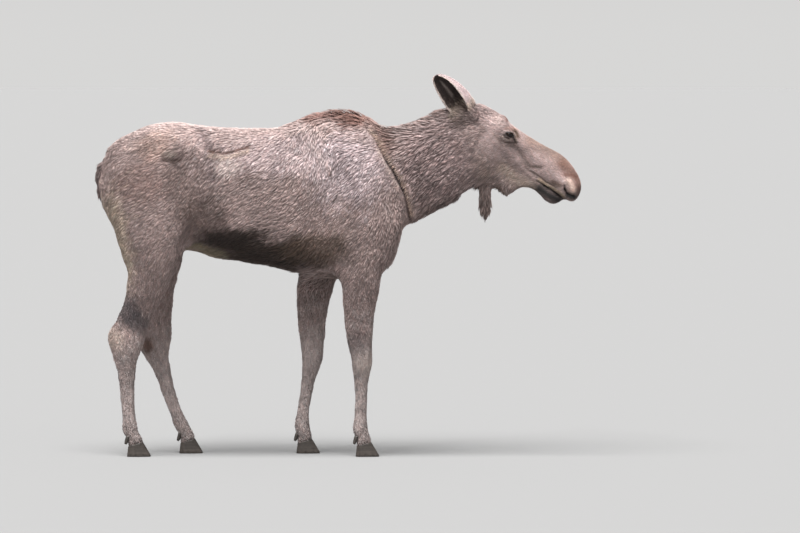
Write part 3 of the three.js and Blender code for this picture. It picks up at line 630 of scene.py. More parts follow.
# ------------------------------------------------------------------ the lie of the coat
# Rows of: x, distance from the midline, z; the way the hair lies there (x, outwards, z);
# its length and how far its tips stand off the skin, both in millimetres.
COMBING = np.array([
    # rump and back
    (-1.20, 0.05, 1.45, -0.20, 0.0, -1.00, 26, 5),
    (-1.12, 0.12, 1.20, -0.60, 0.0, -0.80, 27, 6),
    (-1.02, 0.05, 1.62, -0.90, 0.0, -0.40, 30, 7),
    (-0.85, 0.18, 1.60, -0.88, 0.0, -0.45, 30, 7),
    (-0.60, 0.00, 1.68, -1.00, 0.0, 0.00, 36, 10),
    (-0.25, 0.00, 1.71, -1.00, 0.0, 0.00, 42, 12),
    (0.02, 0.00, 1.77, -1.00, 0.0, 0.10, 62, 18),
    (0.20, 0.00, 1.70, -0.90, 0.0, 0.35, 62, 18),
    # flank and belly
    (-0.35, 0.20, 1.56, -0.75, 0.0, -0.60, 34, 9),
    (-0.35, 0.25, 1.35, -0.78, 0.0, -0.60, 34, 8),
    (-0.22, 0.18, 1.54, -0.60, 0.0, -0.80, 34, 9),
    (-0.15, 0.16, 1.62, 0.05, 0.0, -1.00, 34, 9),
    (-0.07, 0.18, 1.52, 0.00, 0.0, -1.00, 32, 8),
    (-0.68, 0.20, 1.58, -0.60, 0.0, -0.75, 30, 8),
    (-0.70, 0.23, 1.40, -0.55, 0.0, -0.80, 30, 8),
    (-0.35, 0.22, 1.10, -0.92, 0.0, -0.35, 32, 8),
    (-0.30, 0.04, 0.96, -0.90, 0.0, -0.45, 44, 16),
    (-0.12, 0.06, 0.93, -0.85, 0.0, -0.50, 44, 17),
    (-0.24, 0.12, 0.96, -0.80, 0.0, -0.60, 42, 15),
    (-0.62, 0.08, 1.00, -0.90, 0.0, -0.30, 26, 8),
    (-0.74, 0.12, 1.06, -0.60, 0.0, -0.80, 16, 5),
    # shoulder and chest
    (0.06, 0.14, 1.62, -0.90, 0.0, -0.30, 40, 11),
    (0.08, 0.20, 1.42, -0.68, 0.0, -0.73, 32, 8),
    (0.04, 0.21, 1.18, -0.60, 0.0, -0.80, 28, 7),
    (-0.02, 0.20, 0.98, -0.55, 0.0, -0.85, 24, 7),
    (0.26, 0.14, 1.22, -0.25, 0.1, -0.97, 34, 10),
    (0.30, 0.00, 1.10, -0.30, 0.0, -0.95, 46, 12),
    (0.14, 0.00, 0.92, -0.80, 0.0, -0.60, 40, 10),
    # thigh
    (-0.98, 0.21, 1.30, -0.82, 0.0, -0.55, 29, 7),
    (-0.80, 0.20, 1.12, -0.65, 0.0, -0.75, 26, 6),
    (-0.92, 0.15, 0.95, -0.35, 0.0, -0.95, 22, 5),
    # neck
    (0.40, 0.14, 1.50, -0.75, 0.0, -0.65, 46, 15),
    (0.53, 0.12, 1.56, -0.75, 0.0, -0.65, 44, 14),
    (0.42, 0.00, 1.70, -0.95, 0.0, 0.15, 58, 17),
    (0.58, 0.00, 1.77, -0.95, 0.0, 0.15, 46, 13),
    (0.46, 0.00, 1.26, -0.75, 0.0, -0.65, 48, 14),
    (0.64, 0.04, 1.36, -0.75, 0.0, -0.65, 40, 12),
    (0.62, 0.11, 1.64, -0.90, 0.0, -0.40, 26, 7),
    # head
    (0.71, 0.00, 1.79, -0.90, 0.0, 0.35, 20, 5),
    (0.83, 0.03, 1.73, -0.85, 0.0, 0.50, 14, 4),
    (0.68, 0.09, 1.50, -0.85, 0.0, -0.50, 19, 5),
    (0.78, 0.11, 1.56, -0.88, 0.0, -0.30, 10, 3),
    (0.80, 0.05, 1.40, -0.80, 0.0, -0.50, 17, 4.5),
    (0.93, 0.04, 1.40, -0.90, 0.0, -0.10, 12, 3.5),
    (0.93, 0.08, 1.60, -0.80, 0.0, 0.35, 9, 3),
    (1.02, 0.06, 1.50, -0.85, 0.0, 0.35, 8, 3),
    (1.05, 0.00, 1.61, -0.82, 0.0, 0.55, 8, 3),
    (1.20, 0.03, 1.44, -0.50, 0.2, 0.80, 6, 2.5),
    (1.08, 0.03, 1.33, -0.90, 0.0, -0.20, 11, 3),
    # ear
    (0.62, 0.12, 1.80, -0.57, 0.2, 0.80, 13, 3),
    (0.52, 0.12, 1.92, -0.57, 0.2, 0.80, 9, 2),
    # bell, jaw tuft and tail
    (0.748, 0.00, 1.34, -0.05, 0.0, -1.00, 40, 6),
    (0.748, 0.00, 1.24, 0.00, 0.0, -1.00, 42, 7),
    (0.866, 0.02, 1.345, -0.10, 0.0, -1.00, 30, 6),
    (-1.215, 0.00, 1.50, -0.05, 0.0, -1.00, 32, 5),
    (-1.215, 0.00, 1.34, 0.05, 0.0, -1.00, 36, 6),
    # fore legs
    (0.12, 0.12, 0.80, -0.10, 0.0, -1.00, 18, 5),
    (0.12, 0.12, 0.48, 0.00, 0.0, -1.00, 12, 4),
    (0.12, 0.12, 0.28, 0.00, 0.0, -1.00, 12, 3.5),
    (0.13, 0.12, 0.09, 0.15, 0.0, -1.00, 15, 4),
    (-0.13, 0.14, 0.80, -0.10, 0.0, -1.00, 18, 5),
    (-0.13, 0.13, 0.48, 0.00, 0.0, -1.00, 12, 4),
    (-0.16, 0.13, 0.28, 0.00, 0.0, -1.00, 12, 3.5),
    (-0.17, 0.13, 0.09, 0.15, 0.0, -1.00, 15, 4),
    # hind legs
    (-1.00, 0.13, 0.78, -0.20, 0.0, -1.00, 19, 5),
    (-1.07, 0.12, 0.60, 0.05, 0.0, -1.00, 14, 4),
    (-1.06, 0.12, 0.30, 0.00, 0.0, -1.00, 12, 3.5),
    (-1.02, 0.13, 0.09, 0.15, 0.0, -1.00, 15, 4),
    (-0.94, 0.13, 0.60, 0.15, 0.0, -1.00, 14, 4),
    (-0.86, 0.12, 0.30, 0.30, 0.0, -1.00, 12, 3.5),
    (-0.77, 0.13, 0.09, 0.15, 0.0, -1.00, 15, 4),
])
COMBING_REACH = 0.0015  # in square metres: within it a row is not much firmer for being nearer
BATCH = 20000  # points at a time, to spare memory


def in_ears(points, normals):
    """How far each point is up an ear, its share of belonging there, and if it is inside."""
    reach, there, inside = np.zeros(len(points)), np.zeros(len(points)), np.zeros(len(points))
    for side in SIDES:
        up, off, _ = round_ear(points, side)
        close = (np.linalg.norm(off, axis=1) < EAR_SPREAD) & (points[:, 1] * side > 0)
        mine = rise(up, *EAR_BEGINS) * close
        reach = np.where(mine > 0, up, reach)
        there = np.maximum(there, mine)
        inside = np.maximum(inside, mine * ((normals * off).sum(1) < 0))
    return reach, there, inside


EAR_COAT = (8.0, 1.8)  # length and lift of the hair on the ear's back
EAR_LINING = (16.0, 3.0)  # of the hair inside it
EAR_LINING_SHORTER, EAR_LINING_ENDS = 0.55, (0.45, 0.95)  # how much, and from where to where up
EAR_AIM = 1.12  # all of it lies towards a point this many ear lengths up


def groomed(points, normals):
    """The way the hair lies at each point, its length, and how far its tips stand off."""
    mirrored = np.abs(points[:, 1:2])
    found = np.empty((len(points), 5))
    for start in range(0, len(points), BATCH):
        part = slice(start, start + BATCH)
        place = np.hstack([points[part, :1], mirrored[part], points[part, 2:]])
        away2 = ((place[:, None, :] - COMBING[None, :, :3]) ** 2).sum(2)
        weight = 1 / (away2 + COMBING_REACH) ** 2
        found[part] = weight @ COMBING[:, 3:] / weight.sum(1, keepdims=True)
    lie = found[:, :3]
    lie[:, 1] *= np.sign(points[:, 1])
    reach, on_ear, inside = in_ears(points, normals)
    for side in SIDES:
        mine = (on_ear * (points[:, 1] * side > 0))[:, None]
        aim = EAR_ROOT * np.array([1, side, 1]) + ear_axes(side)[0] * (EAR_AIM * EAR_LENGTH)
        lie = unit(lie) * (1 - mine) + unit(aim - points) * mine
    size = found[:, 3:] * (1 - on_ear[:, None]) + np.array(EAR_COAT) * (on_ear - inside)[:, None]
    lining = inside * (1 - EAR_LINING_SHORTER * rise(reach, *EAR_LINING_ENDS))
    size = size + np.array(EAR_LINING) * lining[:, None]
    flat = points[:, [0, 2]] / MILLIMETRE
    for path, reach, share in PARTED:
        near = np.exp(-(off_path(flat, np.array(path) / MILLIMETRE) / reach) ** 2)
        size = size * (1 - share * near)[:, None]
    return unit(lie), size[:, 0] * MILLIMETRE, size[:, 1] * MILLIMETRE


# ------------------------------------------------------------------ markings, with painted light and shade
def srgb(red, green, blue):
    """A screen colour, 0 to 255, as linear light."""
    c = np.array([red, green, blue]) / 255
    return np.where(c <= 0.04045, c / 12.92, ((c + 0.055) / 1.055) ** 2.4)


GREY_BROWN = srgb(156, 137, 133)
BLUSH = np.array([0.03, -0.01, -0.02])  # how the hue wanders
# Rows of: middle (x, distance from the midline, z), reach along each axis, colour, strength. Some rows are
# painted light and shade, as marked below.
MARKINGS_AND_PAINTED_LIGHT = [
    # The next four rows are painted light: the back, the upper flank, the top of the shoulder and the strip
    # below the loin's edge, made paler where light falls from above.
    ((-0.45, 0.05, 1.69), (0.88, 0.24, 0.21), srgb(212, 190, 186), 0.95),  # back
    ((-0.20, 0.22, 1.545), (0.50, 0.20, 0.13), srgb(200, 181, 181), 0.85),  # upper flank
    ((0.09, 0.20, 1.50), (0.24, 0.20, 0.24), srgb(196, 179, 181), 0.85),  # top of the shoulder
    ((-0.56, 0.22, 1.48), (0.10, 0.12, 0.07), srgb(214, 198, 194), 0.7),  # below the loin
    ((0.50, 0.08, 1.50), (0.24, 0.20, 0.26), srgb(136, 117, 116), 0.7),  # neck
    ((0.46, 0.00, 1.27), (0.26, 0.08, 0.10), srgb(100, 84, 80), 0.7),  # throat
    # painted shadow under the ear
    ((0.63, 0.12, 1.705), (0.06, 0.08, 0.04), srgb(98, 82, 78), 0.8),  # under the ear
    ((-0.06, 0.00, 1.77), (0.32, 0.17, 0.11), srgb(132, 98, 90), 0.9),  # hump
    ((0.12, 0.00, 1.72), (0.15, 0.14, 0.09), srgb(132, 98, 88), 0.9),
    ((0.245, 0.08, 1.60), (0.07, 0.14, 0.11), srgb(116, 90, 82), 0.85),  # dip before the hump
    ((0.48, 0.00, 1.77), (0.24, 0.07, 0.07), srgb(136, 114, 108), 0.6),  # crest of the neck
    # painted light: the top of the rump made paler where light falls from above
    ((-0.93, 0.20, 1.60), (0.14, 0.14, 0.12), srgb(188, 160, 148), 0.5),  # rump
    ((-1.00, 0.22, 1.40), (0.16, 0.20, 0.14), srgb(138, 114, 108), 0.6),
    # painted shade in the fold of the flank
    ((-0.66, 0.24, 1.22), (0.14, 0.20, 0.14), srgb(98, 81, 76), 0.65),  # flank fold
    # The next two rows are the belly's darker hair, deepened with painted shade where the underside is out
    # of the light.
    ((-0.54, 0.20, 1.105), (0.24, 0.26, 0.085), srgb(40, 28, 23), 0.97),  # lower flank
    ((-0.34, 0.14, 1.02), (0.34, 0.32, 0.14), srgb(52, 39, 32), 0.97),  # belly
    ((-0.10, 0.20, 1.07), (0.20, 0.24, 0.11), srgb(96, 78, 66), 0.7),  # behind the elbow
    ((-0.665, 0.13, 1.03), (0.12, 0.20, 0.060), srgb(152, 139, 118), 0.85),  # groin
    ((-1.12, 0.15, 1.10), (0.13, 0.16, 0.32), srgb(176, 160, 142), 0.75),  # back of the thigh
    ((-1.215, 0.00, 1.40), (0.05, 0.05, 0.20), srgb(104, 88, 86), 0.8),  # tail
    ((0.10, 0.08, 0.92), (0.24, 0.08, 0.16), srgb(92, 78, 72), 0.7),  # inside of the elbow
    ((-0.40, 0.12, 0.25), (1.40, 0.30, 0.52), srgb(168, 155, 152), 0.9),  # lower legs
    ((-1.06, 0.15, 0.75), (0.08, 0.13, 0.09), srgb(76, 72, 76), 0.7),  # above the hock
    ((-1.01, 0.15, 0.69), (0.07, 0.13, 0.08), srgb(80, 74, 76), 0.7),
    ((-1.14, 0.12, 0.60), (0.08, 0.12, 0.07), srgb(190, 171, 161), 0.8),  # point of the hock
    ((-0.97, 0.09, 0.56), (0.035, 0.04, 0.05), srgb(96, 66, 52), 0.8),  # gland of the hock
    ((0.09, 0.14, 0.60), (0.06, 0.10, 0.08), srgb(98, 88, 88), 0.6),  # above the knee
    ((0.13, 0.12, 0.47), (0.07, 0.10, 0.07), srgb(190, 175, 168), 0.7),  # knee
    ((0.75, 0.00, 1.27), (0.06, 0.05, 0.15), srgb(116, 100, 95), 0.8),  # bell
]
# Painted onto both sides of the body, as BODY_STROKES are: path, width, colour, strength. Most rows are
# painted shade in folds and hollows and painted highlights on the ridges beside them, as marked below.
BODY_PAINT = [
    # painted shade along the fold of the flank, before the thigh
    ([(-0.80, 1.42), (-0.76, 1.30), (-0.74, 1.18)], 60, srgb(118, 100, 94), 0.5),
    # painted shade in the hollow before the hip
    (HIP_VALLEY, 30, srgb(112, 97, 98), 0.6),
    # painted shade along the loin's edge, and a painted highlight below it
    (LOIN_EDGE, 9, srgb(104, 74, 62), 0.9),
    ([(-0.645, 1.535), (-0.560, 1.522), (-0.445, 1.555)], 10, srgb(206, 184, 170), 0.7),
    ([(-0.175, 1.635), (-0.105, 1.560), (-0.040, 1.465)], 15, srgb(196, 178, 176), 0.7),
    # painted shade below the hip bone, and a painted highlight on it
    ([(-0.870, 1.512), (-0.830, 1.506), (-0.785, 1.520)], 12, srgb(82, 64, 58), 0.8),
    ([(-0.860, 1.545), (-0.820, 1.540)], 13, srgb(200, 186, 176), 0.6),
    ([(-0.034, 1.452), (-0.014, 1.486)], 5, srgb(74, 58, 52), 0.9),
    ([(-0.020, 1.300), (0.004, 1.330)], 5, srgb(64, 50, 46), 0.9),
    # painted highlights on the ridges beside the crease
    (SHOULDER_EDGE, 10, srgb(208, 182, 166), 0.8),
    ([(0.205, 1.560), (0.262, 1.455), (0.305, 1.375)], 9, srgb(196, 176, 168), 0.6),
    # painted shade in the crease where neck and shoulder meet, darkest in its deepest part
    (CREASE, 5, srgb(70, 54, 50), 0.75),
    (CREASE[2:5], 9, srgb(34, 23, 21), 0.97),
]
FACE_GREY = srgb(170, 150, 147)
# Painted onto the head, in its own millimetres: path, width, colour, strength. Some rows are painted shade
# in furrows, grooves, the nostrils' openings and behind the jaw, and one holds a painted highlight, as
# marked below.
HEAD_PAINT = [
    ([(20, 60), (150, 0), (330, 20), (520, 20)], 150, FACE_GREY, 0.9),
    ([(300, 112), (400, 118), (500, 110)], 42, srgb(140, 117, 106), 0.8),  # bridge of the nose
    ([(250, -85), (330, -100), (430, -95)], 34, srgb(162, 146, 133), 0.7),  # lower jaw
    ([(100, -120), (180, -150)], 50, srgb(124, 108, 98), 0.6),  # throat
    ([(500, 84), (560, 72), (606, 48), (640, 20)], 36, srgb(114, 82, 70), 0.85),  # top of the nose
    ([(540, 44), (566, 58), (594, 64)], 11, srgb(108, 68, 54), 0.7),
    # pale hair on the wing of the nostril, with a painted highlight on its bulge
    ([(570, 26), (590, 16), (612, -4)], 17, srgb(208, 184, 172), 0.9),  # wing of the nostril
    ([(646, 30), (656, -8)], 12, srgb(80, 60, 54), 0.8),  # tip of the nose
    ([(505, -20), (545, -16)], 15, srgb(98, 80, 68), 0.8),  # behind the nostril
    ([(440, -42), (484, -46), (548, -46), (588, -53)], 9, srgb(188, 166, 142), 0.85),  # upper lip
    ([(344, -24), (367, -30), (434, -30), (470, -36), (530, -33)], 4, srgb(86, 68, 58), 0.8),
    ([(462, -80), (510, -86), (572, -80)], 29, srgb(28, 24, 23), 1.0),  # lower lip
    (MOUTH[:2], 4, srgb(34, 27, 25), 0.9),
    (MOUTH[1:], 6, srgb(24, 19, 18), 1.0),
    # The next three rows are painted shade in the nostril's opening, blackest where it is deepest.
    (NOSTRIL[:2], 5, srgb(34, 26, 24), 0.9),
    (NOSTRIL[1:], 8, srgb(22, 17, 16), 1.0),
    ([(604, -36), (634, -30)], 15, srgb(18, 14, 14), 1.0),
    # The next two rows are painted shade in the groove under the nose bone.
    ([(338, -6), (364, -11), (390, 2), (412, 12)], 9, srgb(98, 84, 76), 0.75),  # under the nose bone
    ([(240, 42), (298, 16), (338, -2)], 12, srgb(124, 108, 102), 0.6),
    ([(160, 96), (180, 104), (204, 110)], 10, srgb(176, 140, 128), 0.6),  # upper lid
    ([(204, 102), (218, 98), (232, 88)], 10, srgb(104, 80, 62), 0.85),  # before the eye
    # The next two rows are painted shade in the furrows under the eye.
    ([(158, 33), (186, 27), (213, 41), (243, 57)], 6, srgb(92, 76, 66), 0.75),  # furrow under the eye
    ([(150, 20), (190, 10), (236, 30)], 8, srgb(128, 110, 102), 0.6),
    ([(122, 38), (140, 32)], 11, srgb(122, 106, 100), 0.6),
    ([(164, 60), (176, 54), (196, 56)], 5, srgb(66, 52, 48), 0.85),  # lower lid
    ([(166, 50), (188, 44), (205, 51), (211, 62)], 4, srgb(204, 184, 174), 0.9),
    ([(207, 75), (219, 67), (232, 60)], 5, srgb(30, 23, 22), 1.0),  # tear duct
    ([(212, 88), (224, 79), (236, 68)], 4, srgb(204, 180, 166), 0.85),
    ([(116, 150), (138, 146), (147, 128)], 11, srgb(100, 64, 56), 0.8),  # crown
    ([(96, 120), (108, 100)], 22, srgb(196, 176, 170), 0.5),
    ([(280, -190), (334, -208)], 24, srgb(96, 78, 68), 0.8),  # tuft of the jaw
    # painted shadow behind the jaw, under the ear
    ([(56, 30), (60, -60), (84, -140)], 15, srgb(100, 86, 79), 0.6),  # behind the jaw
]
LID_EDGE = srgb(36, 28, 26)
EAR_INSIDE, EAR_EDGE, EAR_BACK = srgb(66, 54, 51), srgb(204, 188, 180), srgb(184, 166, 166)
EAR_FRINGE = srgb(180, 163, 148)

MARKING_EDGE = (0.45, 1.15)  # where a marking begins to fade, and where it ends, in its reaches
FACE_BEGINS = (0.66, 0.76)  # along x
LEGS_END = (0.70, 1.00)  # up z
# Rows of a ripple's strength, its size in metres and its seed.
WANDER = [(0.16, 0.12, 3), (0.12, 0.035, 4)]  # of the edges of the markings
BODY_RAGGED, HEAD_RAGGED = [(0.2, 0.03, 9)], [(0.12, 0.02, 8)]
BLOTCHES = [(0.10, 0.20, 5), (0.07, 0.06, 6)]
FRINGE_RAGGED = [(0.03, 0.03, 14)]
FLECKS, FACE_FLECKS, LEG_FLECKS = 0.05, 0.08, 0.12  # strengths; the face's come on top
# The ear's paint: 1 is the edge in a turn, and the tip up the ear.
EAR_RIM, EAR_RIM_PAINT = (0.95, 1.0), 0.7
EAR_FOLD, EAR_FOLD_WIDTH, EAR_FOLD_PAINT = 0.42, 0.07, 0.5
EAR_FOLD_BEGINS, EAR_FOLD_ENDS = (0.4, 0.5), (0.75, 0.9)
FRINGE_UP, FRINGE_REACH, FRINGE_PAINT, FRINGE_LEVEL = 0.27, 0.08, 0.65, 1.70
# Bare skin: widths in millimetres, the front end of the mouth, and the rim of the lids.
MOUTH_BARE, NOSTRIL_BARE, MOUTH_FRONT = 6, 8, 620
LID_BARE, LID_PAINTED = (1.15, 1.4), (1.20, 1.60)
NEAR_EYE = 0.05


def ripple(points, size, seed):
    """A smooth random number from about -1 to 1 that changes over lengths of about `size`."""
    chance = np.random.default_rng(seed)
    total = np.zeros(len(points))
    waves = 14
    for _ in range(waves):
        way = chance.normal(size=3)
        way *= 2 * math.pi / size * chance.uniform(0.6, 1.4) / np.linalg.norm(way)
        total += np.sin(points @ way + chance.uniform(0, 2 * math.pi))
    return total / math.sqrt(waves)


def ripples(points, rows, total):
    """The total with a ripple added for each row."""
    for strength, size, seed in rows:
        total = total + strength * ripple(points, size, seed)
    return total


def blotches(points, on_face):
    """How much paler each point is than its marking; the legs are flecked along their length."""
    total = ripples(points, BLOTCHES, 0.0)
    total += (FLECKS + FACE_FLECKS * on_face) * ripple(points, 0.012, 12)
    on_legs = 1 - rise(points[:, 2], *LEGS_END)
    return total + LEG_FLECKS * on_legs * ripple(points * np.array([1, 1, 0.4]), 0.026, 15)


def coloured(points, normals):
    """The colour of the coat at each point, with painted light and shade in it."""
    colour = np.tile(GREY_BROWN, (len(points), 1))

    def paint(shade, share):
        colour[:] = colour * (1 - share[:, None]) + shade * share[:, None]

    place = np.stack([points[:, 0], np.abs(points[:, 1]), points[:, 2]], 1)
    wander = ripples(points, WANDER, 1)
    for middle, reach, shade, strength in MARKINGS_AND_PAINTED_LIGHT:
        away = np.linalg.norm((place - middle) / reach, axis=1) * wander
        paint(shade, strength * (1 - rise(away, *MARKING_EDGE)))
    flat, sideways = points[:, [0, 2]] / MILLIMETRE, rise(np.abs(normals[:, 1]), *SIDEWAYS)
    for path, width, shade, strength in BODY_PAINT:
        away = off_path(flat, np.array(path) / MILLIMETRE) / width * ripples(points, BODY_RAGGED, 1)
        paint(shade, strength * np.exp(-away ** 2) * sideways)
    on_face = rise(points[:, 0], *FACE_BEGINS) * (points[:, 2] > HEAD_LEVEL)
    places = on_head(points)
    for path, width, shade, strength in HEAD_PAINT:
        away = off_path(places, path) / width * ripples(points, HEAD_RAGGED, 1)
        paint(shade, strength * np.exp(-away ** 2) * on_face)
    for side, eye in zip(SIDES, EYES):
        ring = in_eye(points, eye, side)[3]
        near = np.linalg.norm(points - eye, axis=1) < NEAR_EYE
        paint(LID_EDGE, (1 - rise(ring, *LID_PAINTED)) * near)
    paint_ears(paint, points, normals)
    tone = 1 + blotches(points, on_face)
    return colour * tone[:, None] * (1 + np.outer(ripple(points, 0.016, 13), BLUSH))


def bareness(points):
    """The share of each point that is bare skin: on lips, nostrils and the edges of the lids."""
    places = on_head(points)
    high = points[:, 2] > HEAD_LEVEL
    bare = np.exp(-(off_path(places, MOUTH[1:]) / MOUTH_BARE) ** 2) * (places[:, 0] < MOUTH_FRONT)
    bare = np.maximum(bare, np.exp(-(off_path(places, NOSTRIL[1:]) / NOSTRIL_BARE) ** 2)) * high
    for side, eye in zip(SIDES, EYES):
        near = np.linalg.norm(points - eye, axis=1) < NEAR_EYE
        bare = np.maximum(bare, (1 - rise(in_eye(points, eye, side)[3], *LID_BARE)) * near)
    return bare


def paint_ears(paint, points, normals):
    """Pale outside and at the edge, dark inside with one pale fold, and a fringe at the root."""
    _, on_ear, inside = in_ears(points, normals)
    paint(EAR_BACK, on_ear * (1 - inside))
    paint(EAR_INSIDE, inside)
    for side in SIDES:
        up, off, to_edge = round_ear(points, side)
        mine = on_ear * (points[:, 1] * side > 0)
        paint(EAR_EDGE, rise(to_edge, *EAR_RIM) * mine * EAR_RIM_PAINT)
        fold = np.exp(-((to_edge - EAR_FOLD) / EAR_FOLD_WIDTH) ** 2)
        fold = fold * rise(up, *EAR_FOLD_BEGINS) * (1 - rise(up, *EAR_FOLD_ENDS))
        paint(EAR_EDGE, fold * inside * mine * EAR_FOLD_PAINT)
        ragged = ripples(points, FRINGE_RAGGED, up - FRINGE_UP)
        root = np.exp(-(ragged / FRINGE_REACH) ** 2) * (np.linalg.norm(off, axis=1) < EAR_SPREAD)
        here = (points[:, 1] * side > 0) & (points[:, 2] > FRINGE_LEVEL)
        paint(EAR_FRINGE, FRINGE_PAINT * root * here)


# ------------------------------------------------------------------ tufts
TUFT_PATCH = 0.003  # the side of a tuft's patch on the bake map
RING = 3  # a tuft is a three-sided blade, buried at its root and pointed at its tip
# A ring's reach along the tuft, its height off the skin and its breadth, as shares of the tuft's own.
ROOT_RING, WAIST_RING = (-0.06, -0.35, 0.8), (0.45, 0.66, 1.0)
BLADE = [(-0.5, 0.0), (0.5, 0.0), (0.0, 0.32)]  # a ring's corners in breadths: across, and up
LOCK_CHOICES, LOCK_STRETCH = 10, 3.2  # leaders looked at, and how much longer than wide a lock is
DRAWN_MOST, WAIST_DRAWN = 0.5, 0.35  # of a tuft's length, and of what its tip is drawn


def add_colour(mesh, colour, name="coat"):
    rgba = np.ones((len(colour), 4), np.float32)
    rgba[:, :3] = colour
    layer = mesh.color_attributes.new(name, "FLOAT_COLOR", "POINT")
    layer.data.foreach_set("color", rgba.ravel())


class Skin:
    """What the hair grows from: the skin's corners, and its triangles with their areas."""

    def __init__(self, mesh):
        mesh.calc_loop_triangles()
        flat = np.empty(len(mesh.loop_triangles) * 3, np.int32)
        mesh.loop_triangles.foreach_get("vertices", flat)
        self.corners = flat.reshape(-1, 3)
        self.points, self.normals = points_of(mesh), normals_of(mesh)
        a, b, c = (self.points[self.corners[:, k]] for k in range(3))
        self.middles = (a + b + c) / 3
        self.facing = unit(np.cross(b - a, c - a))
        self.areas = np.linalg.norm(np.cross(b - a, c - a), axis=1) / 2

    def scattered(self, count, density):
        """Roots spread over the skin: their places and the skin's normals there."""
        passed = np.cumsum(self.areas * density)
        steps = (np.arange(count) + CHANCE.random(count)) / count * passed[-1]
        face = self.corners[np.searchsorted(passed, steps)]
        u, v = np.sqrt(CHANCE.random(count)), CHANCE.random(count)
        share = np.stack([1 - u, u * (1 - v), u * v], 1)[:, :, None]
        return (self.points[face] * share).sum(1), unit((self.normals[face] * share).sum(1))


COARSE = 0.06  # the share of the skin's faces that its flat map needs


def coarse_skin(mesh):
    thing = new_object("coarse_skin", mesh.copy())
    thin = thing.modifiers.new("thin", "DECIMATE")
    thin.ratio = COARSE
    return with_modifiers(thing)


def triangles_of(mesh):
    mesh.calc_loop_triangles()
    corners = np.empty(len(mesh.loop_triangles) * 3, np.int32)
    loops = np.empty(len(mesh.loop_triangles) * 3, np.int32)
    mesh.loop_triangles.foreach_get("vertices", corners)
    mesh.loop_triangles.foreach_get("loops", loops)
    return corners.reshape(-1, 3), loops.reshape(-1, 3)


def nearest_triangle(mesh, places):
    """For each place the nearest triangle of the mesh and the nearest point on it."""
    corners, _ = triangles_of(mesh)
    tree = BVHTree.FromPolygons(points_of(mesh).tolist(), corners.tolist())
    found = [tree.find_nearest(p) for p in places]
    return np.array([hit[2] for hit in found]), np.array([hit[0] for hit in found])


def flat_places(coarse, roots):
    """Each root's place on an unwrap of the stretch of skin that the roots stand on."""
    bm = bmesh.new()
    bm.from_mesh(coarse)
    bmesh.ops.triangulate(bm, faces=bm.faces)
    mesh = from_bmesh("stretch", bm)
    grown = set(nearest_triangle(mesh, roots)[0].tolist())
    bm = bmesh.new()
    bm.from_mesh(mesh)
    bmesh.ops.delete(bm, geom=[f for f in bm.faces if f.index not in grown], context="FACES")
    thing = new_object("stretch", from_bmesh("stretch", bm))
    unwrap(thing)
    index, hits = nearest_triangle(thing.data, roots)
    corners, loops = triangles_of(thing.data)
    flat = np.empty(len(thing.data.loops) * 2, np.float32)
    thing.data.uv_layers.active.data.foreach_get("uv", flat)
    a, b, c = (points_of(thing.data)[corners[index, k]] for k in range(3))
    whole = np.cross(b - a, c - a)
    size = np.maximum((whole ** 2).sum(1), 1e-20)
    share_b = (np.cross(hits - a, c - a) * whole).sum(1) / size
    share_c = (np.cross(b - a, hits - a) * whole).sum(1) / size
    share = np.clip(np.stack([1 - share_b - share_c, share_b, share_c], 1), 0, 1)
    uv = (flat.reshape(-1, 2)[loops[index]] * share[:, :, None]).sum(1)
    bpy.data.objects.remove(thing)
    return 2 * TUFT_PATCH + uv * (1 - 4 * TUFT_PATCH)


def unwrap(thing):
    bpy.context.view_layer.objects.active = thing
    thing.select_set(True)
    bpy.ops.object.mode_set(mode="EDIT")
    bpy.ops.mesh.select_all(action="SELECT")
    bpy.ops.uv.smart_project(angle_limit=math.radians(66), island_margin=0.004)
    bpy.ops.object.mode_set(mode="OBJECT")


def tuft_shapes(roots, normals, lie, length, lift, width, bent):
    """Corners of the tufts, (count, rings * 3 + 1, 3): rings from the root on, then the tip."""
    across = unit(np.cross(normals, lie))
    along = np.cross(across, normals)
    shapes = []
    for reach, height, breadth in ([ROOT_RING, WAIST_RING] if bent else [ROOT_RING]):
        middle = roots + along * (length * reach)[:, None] + normals * (lift * height)[:, None]
        for aside, up in BLADE:
            shapes.append(middle + across * (width * breadth * aside)[:, None]
                          + normals * (width * up)[:, None])
    shapes.append(roots + along * length[:, None] + normals * lift[:, None])
    return np.stack(shapes, 1)


def leaders_of(roots, lie, every):
    """Each tuft's leader, one in `every`: the near one that is best in line with it."""
    leaders = np.arange(0, len(roots), every)
    index, _ = nearest(roots[leaders], roots, LOCK_CHOICES)
    away = roots[leaders][index] - roots[:, None, :]
    along = (away * lie[:, None, :]).sum(2)
    off2 = (away ** 2).sum(2) - along ** 2 * (1 - 1 / LOCK_STRETCH ** 2)
    return leaders[index[np.arange(len(roots)), off2.argmin(1)]]


def drawn_to(shapes, roots, leader, pull, bent):
    """Draws the tufts' upper ends towards those of their leaders, so that locks form."""
    reach = np.linalg.norm(shapes[leader, -1] - shapes[:, -1], axis=1)
    limit = DRAWN_MOST * np.linalg.norm(shapes[:, -1] - roots, axis=1)
    pull = pull * np.minimum(1, limit / np.maximum(reach, 1e-6))
    drawn = (shapes[leader, -1] - shapes[:, -1]) * pull[:, None]
    shapes[:, -1] += drawn
    if bent:
        shapes[:, RING:2 * RING] += (drawn * WAIST_DRAWN)[:, None, :]
    return shapes


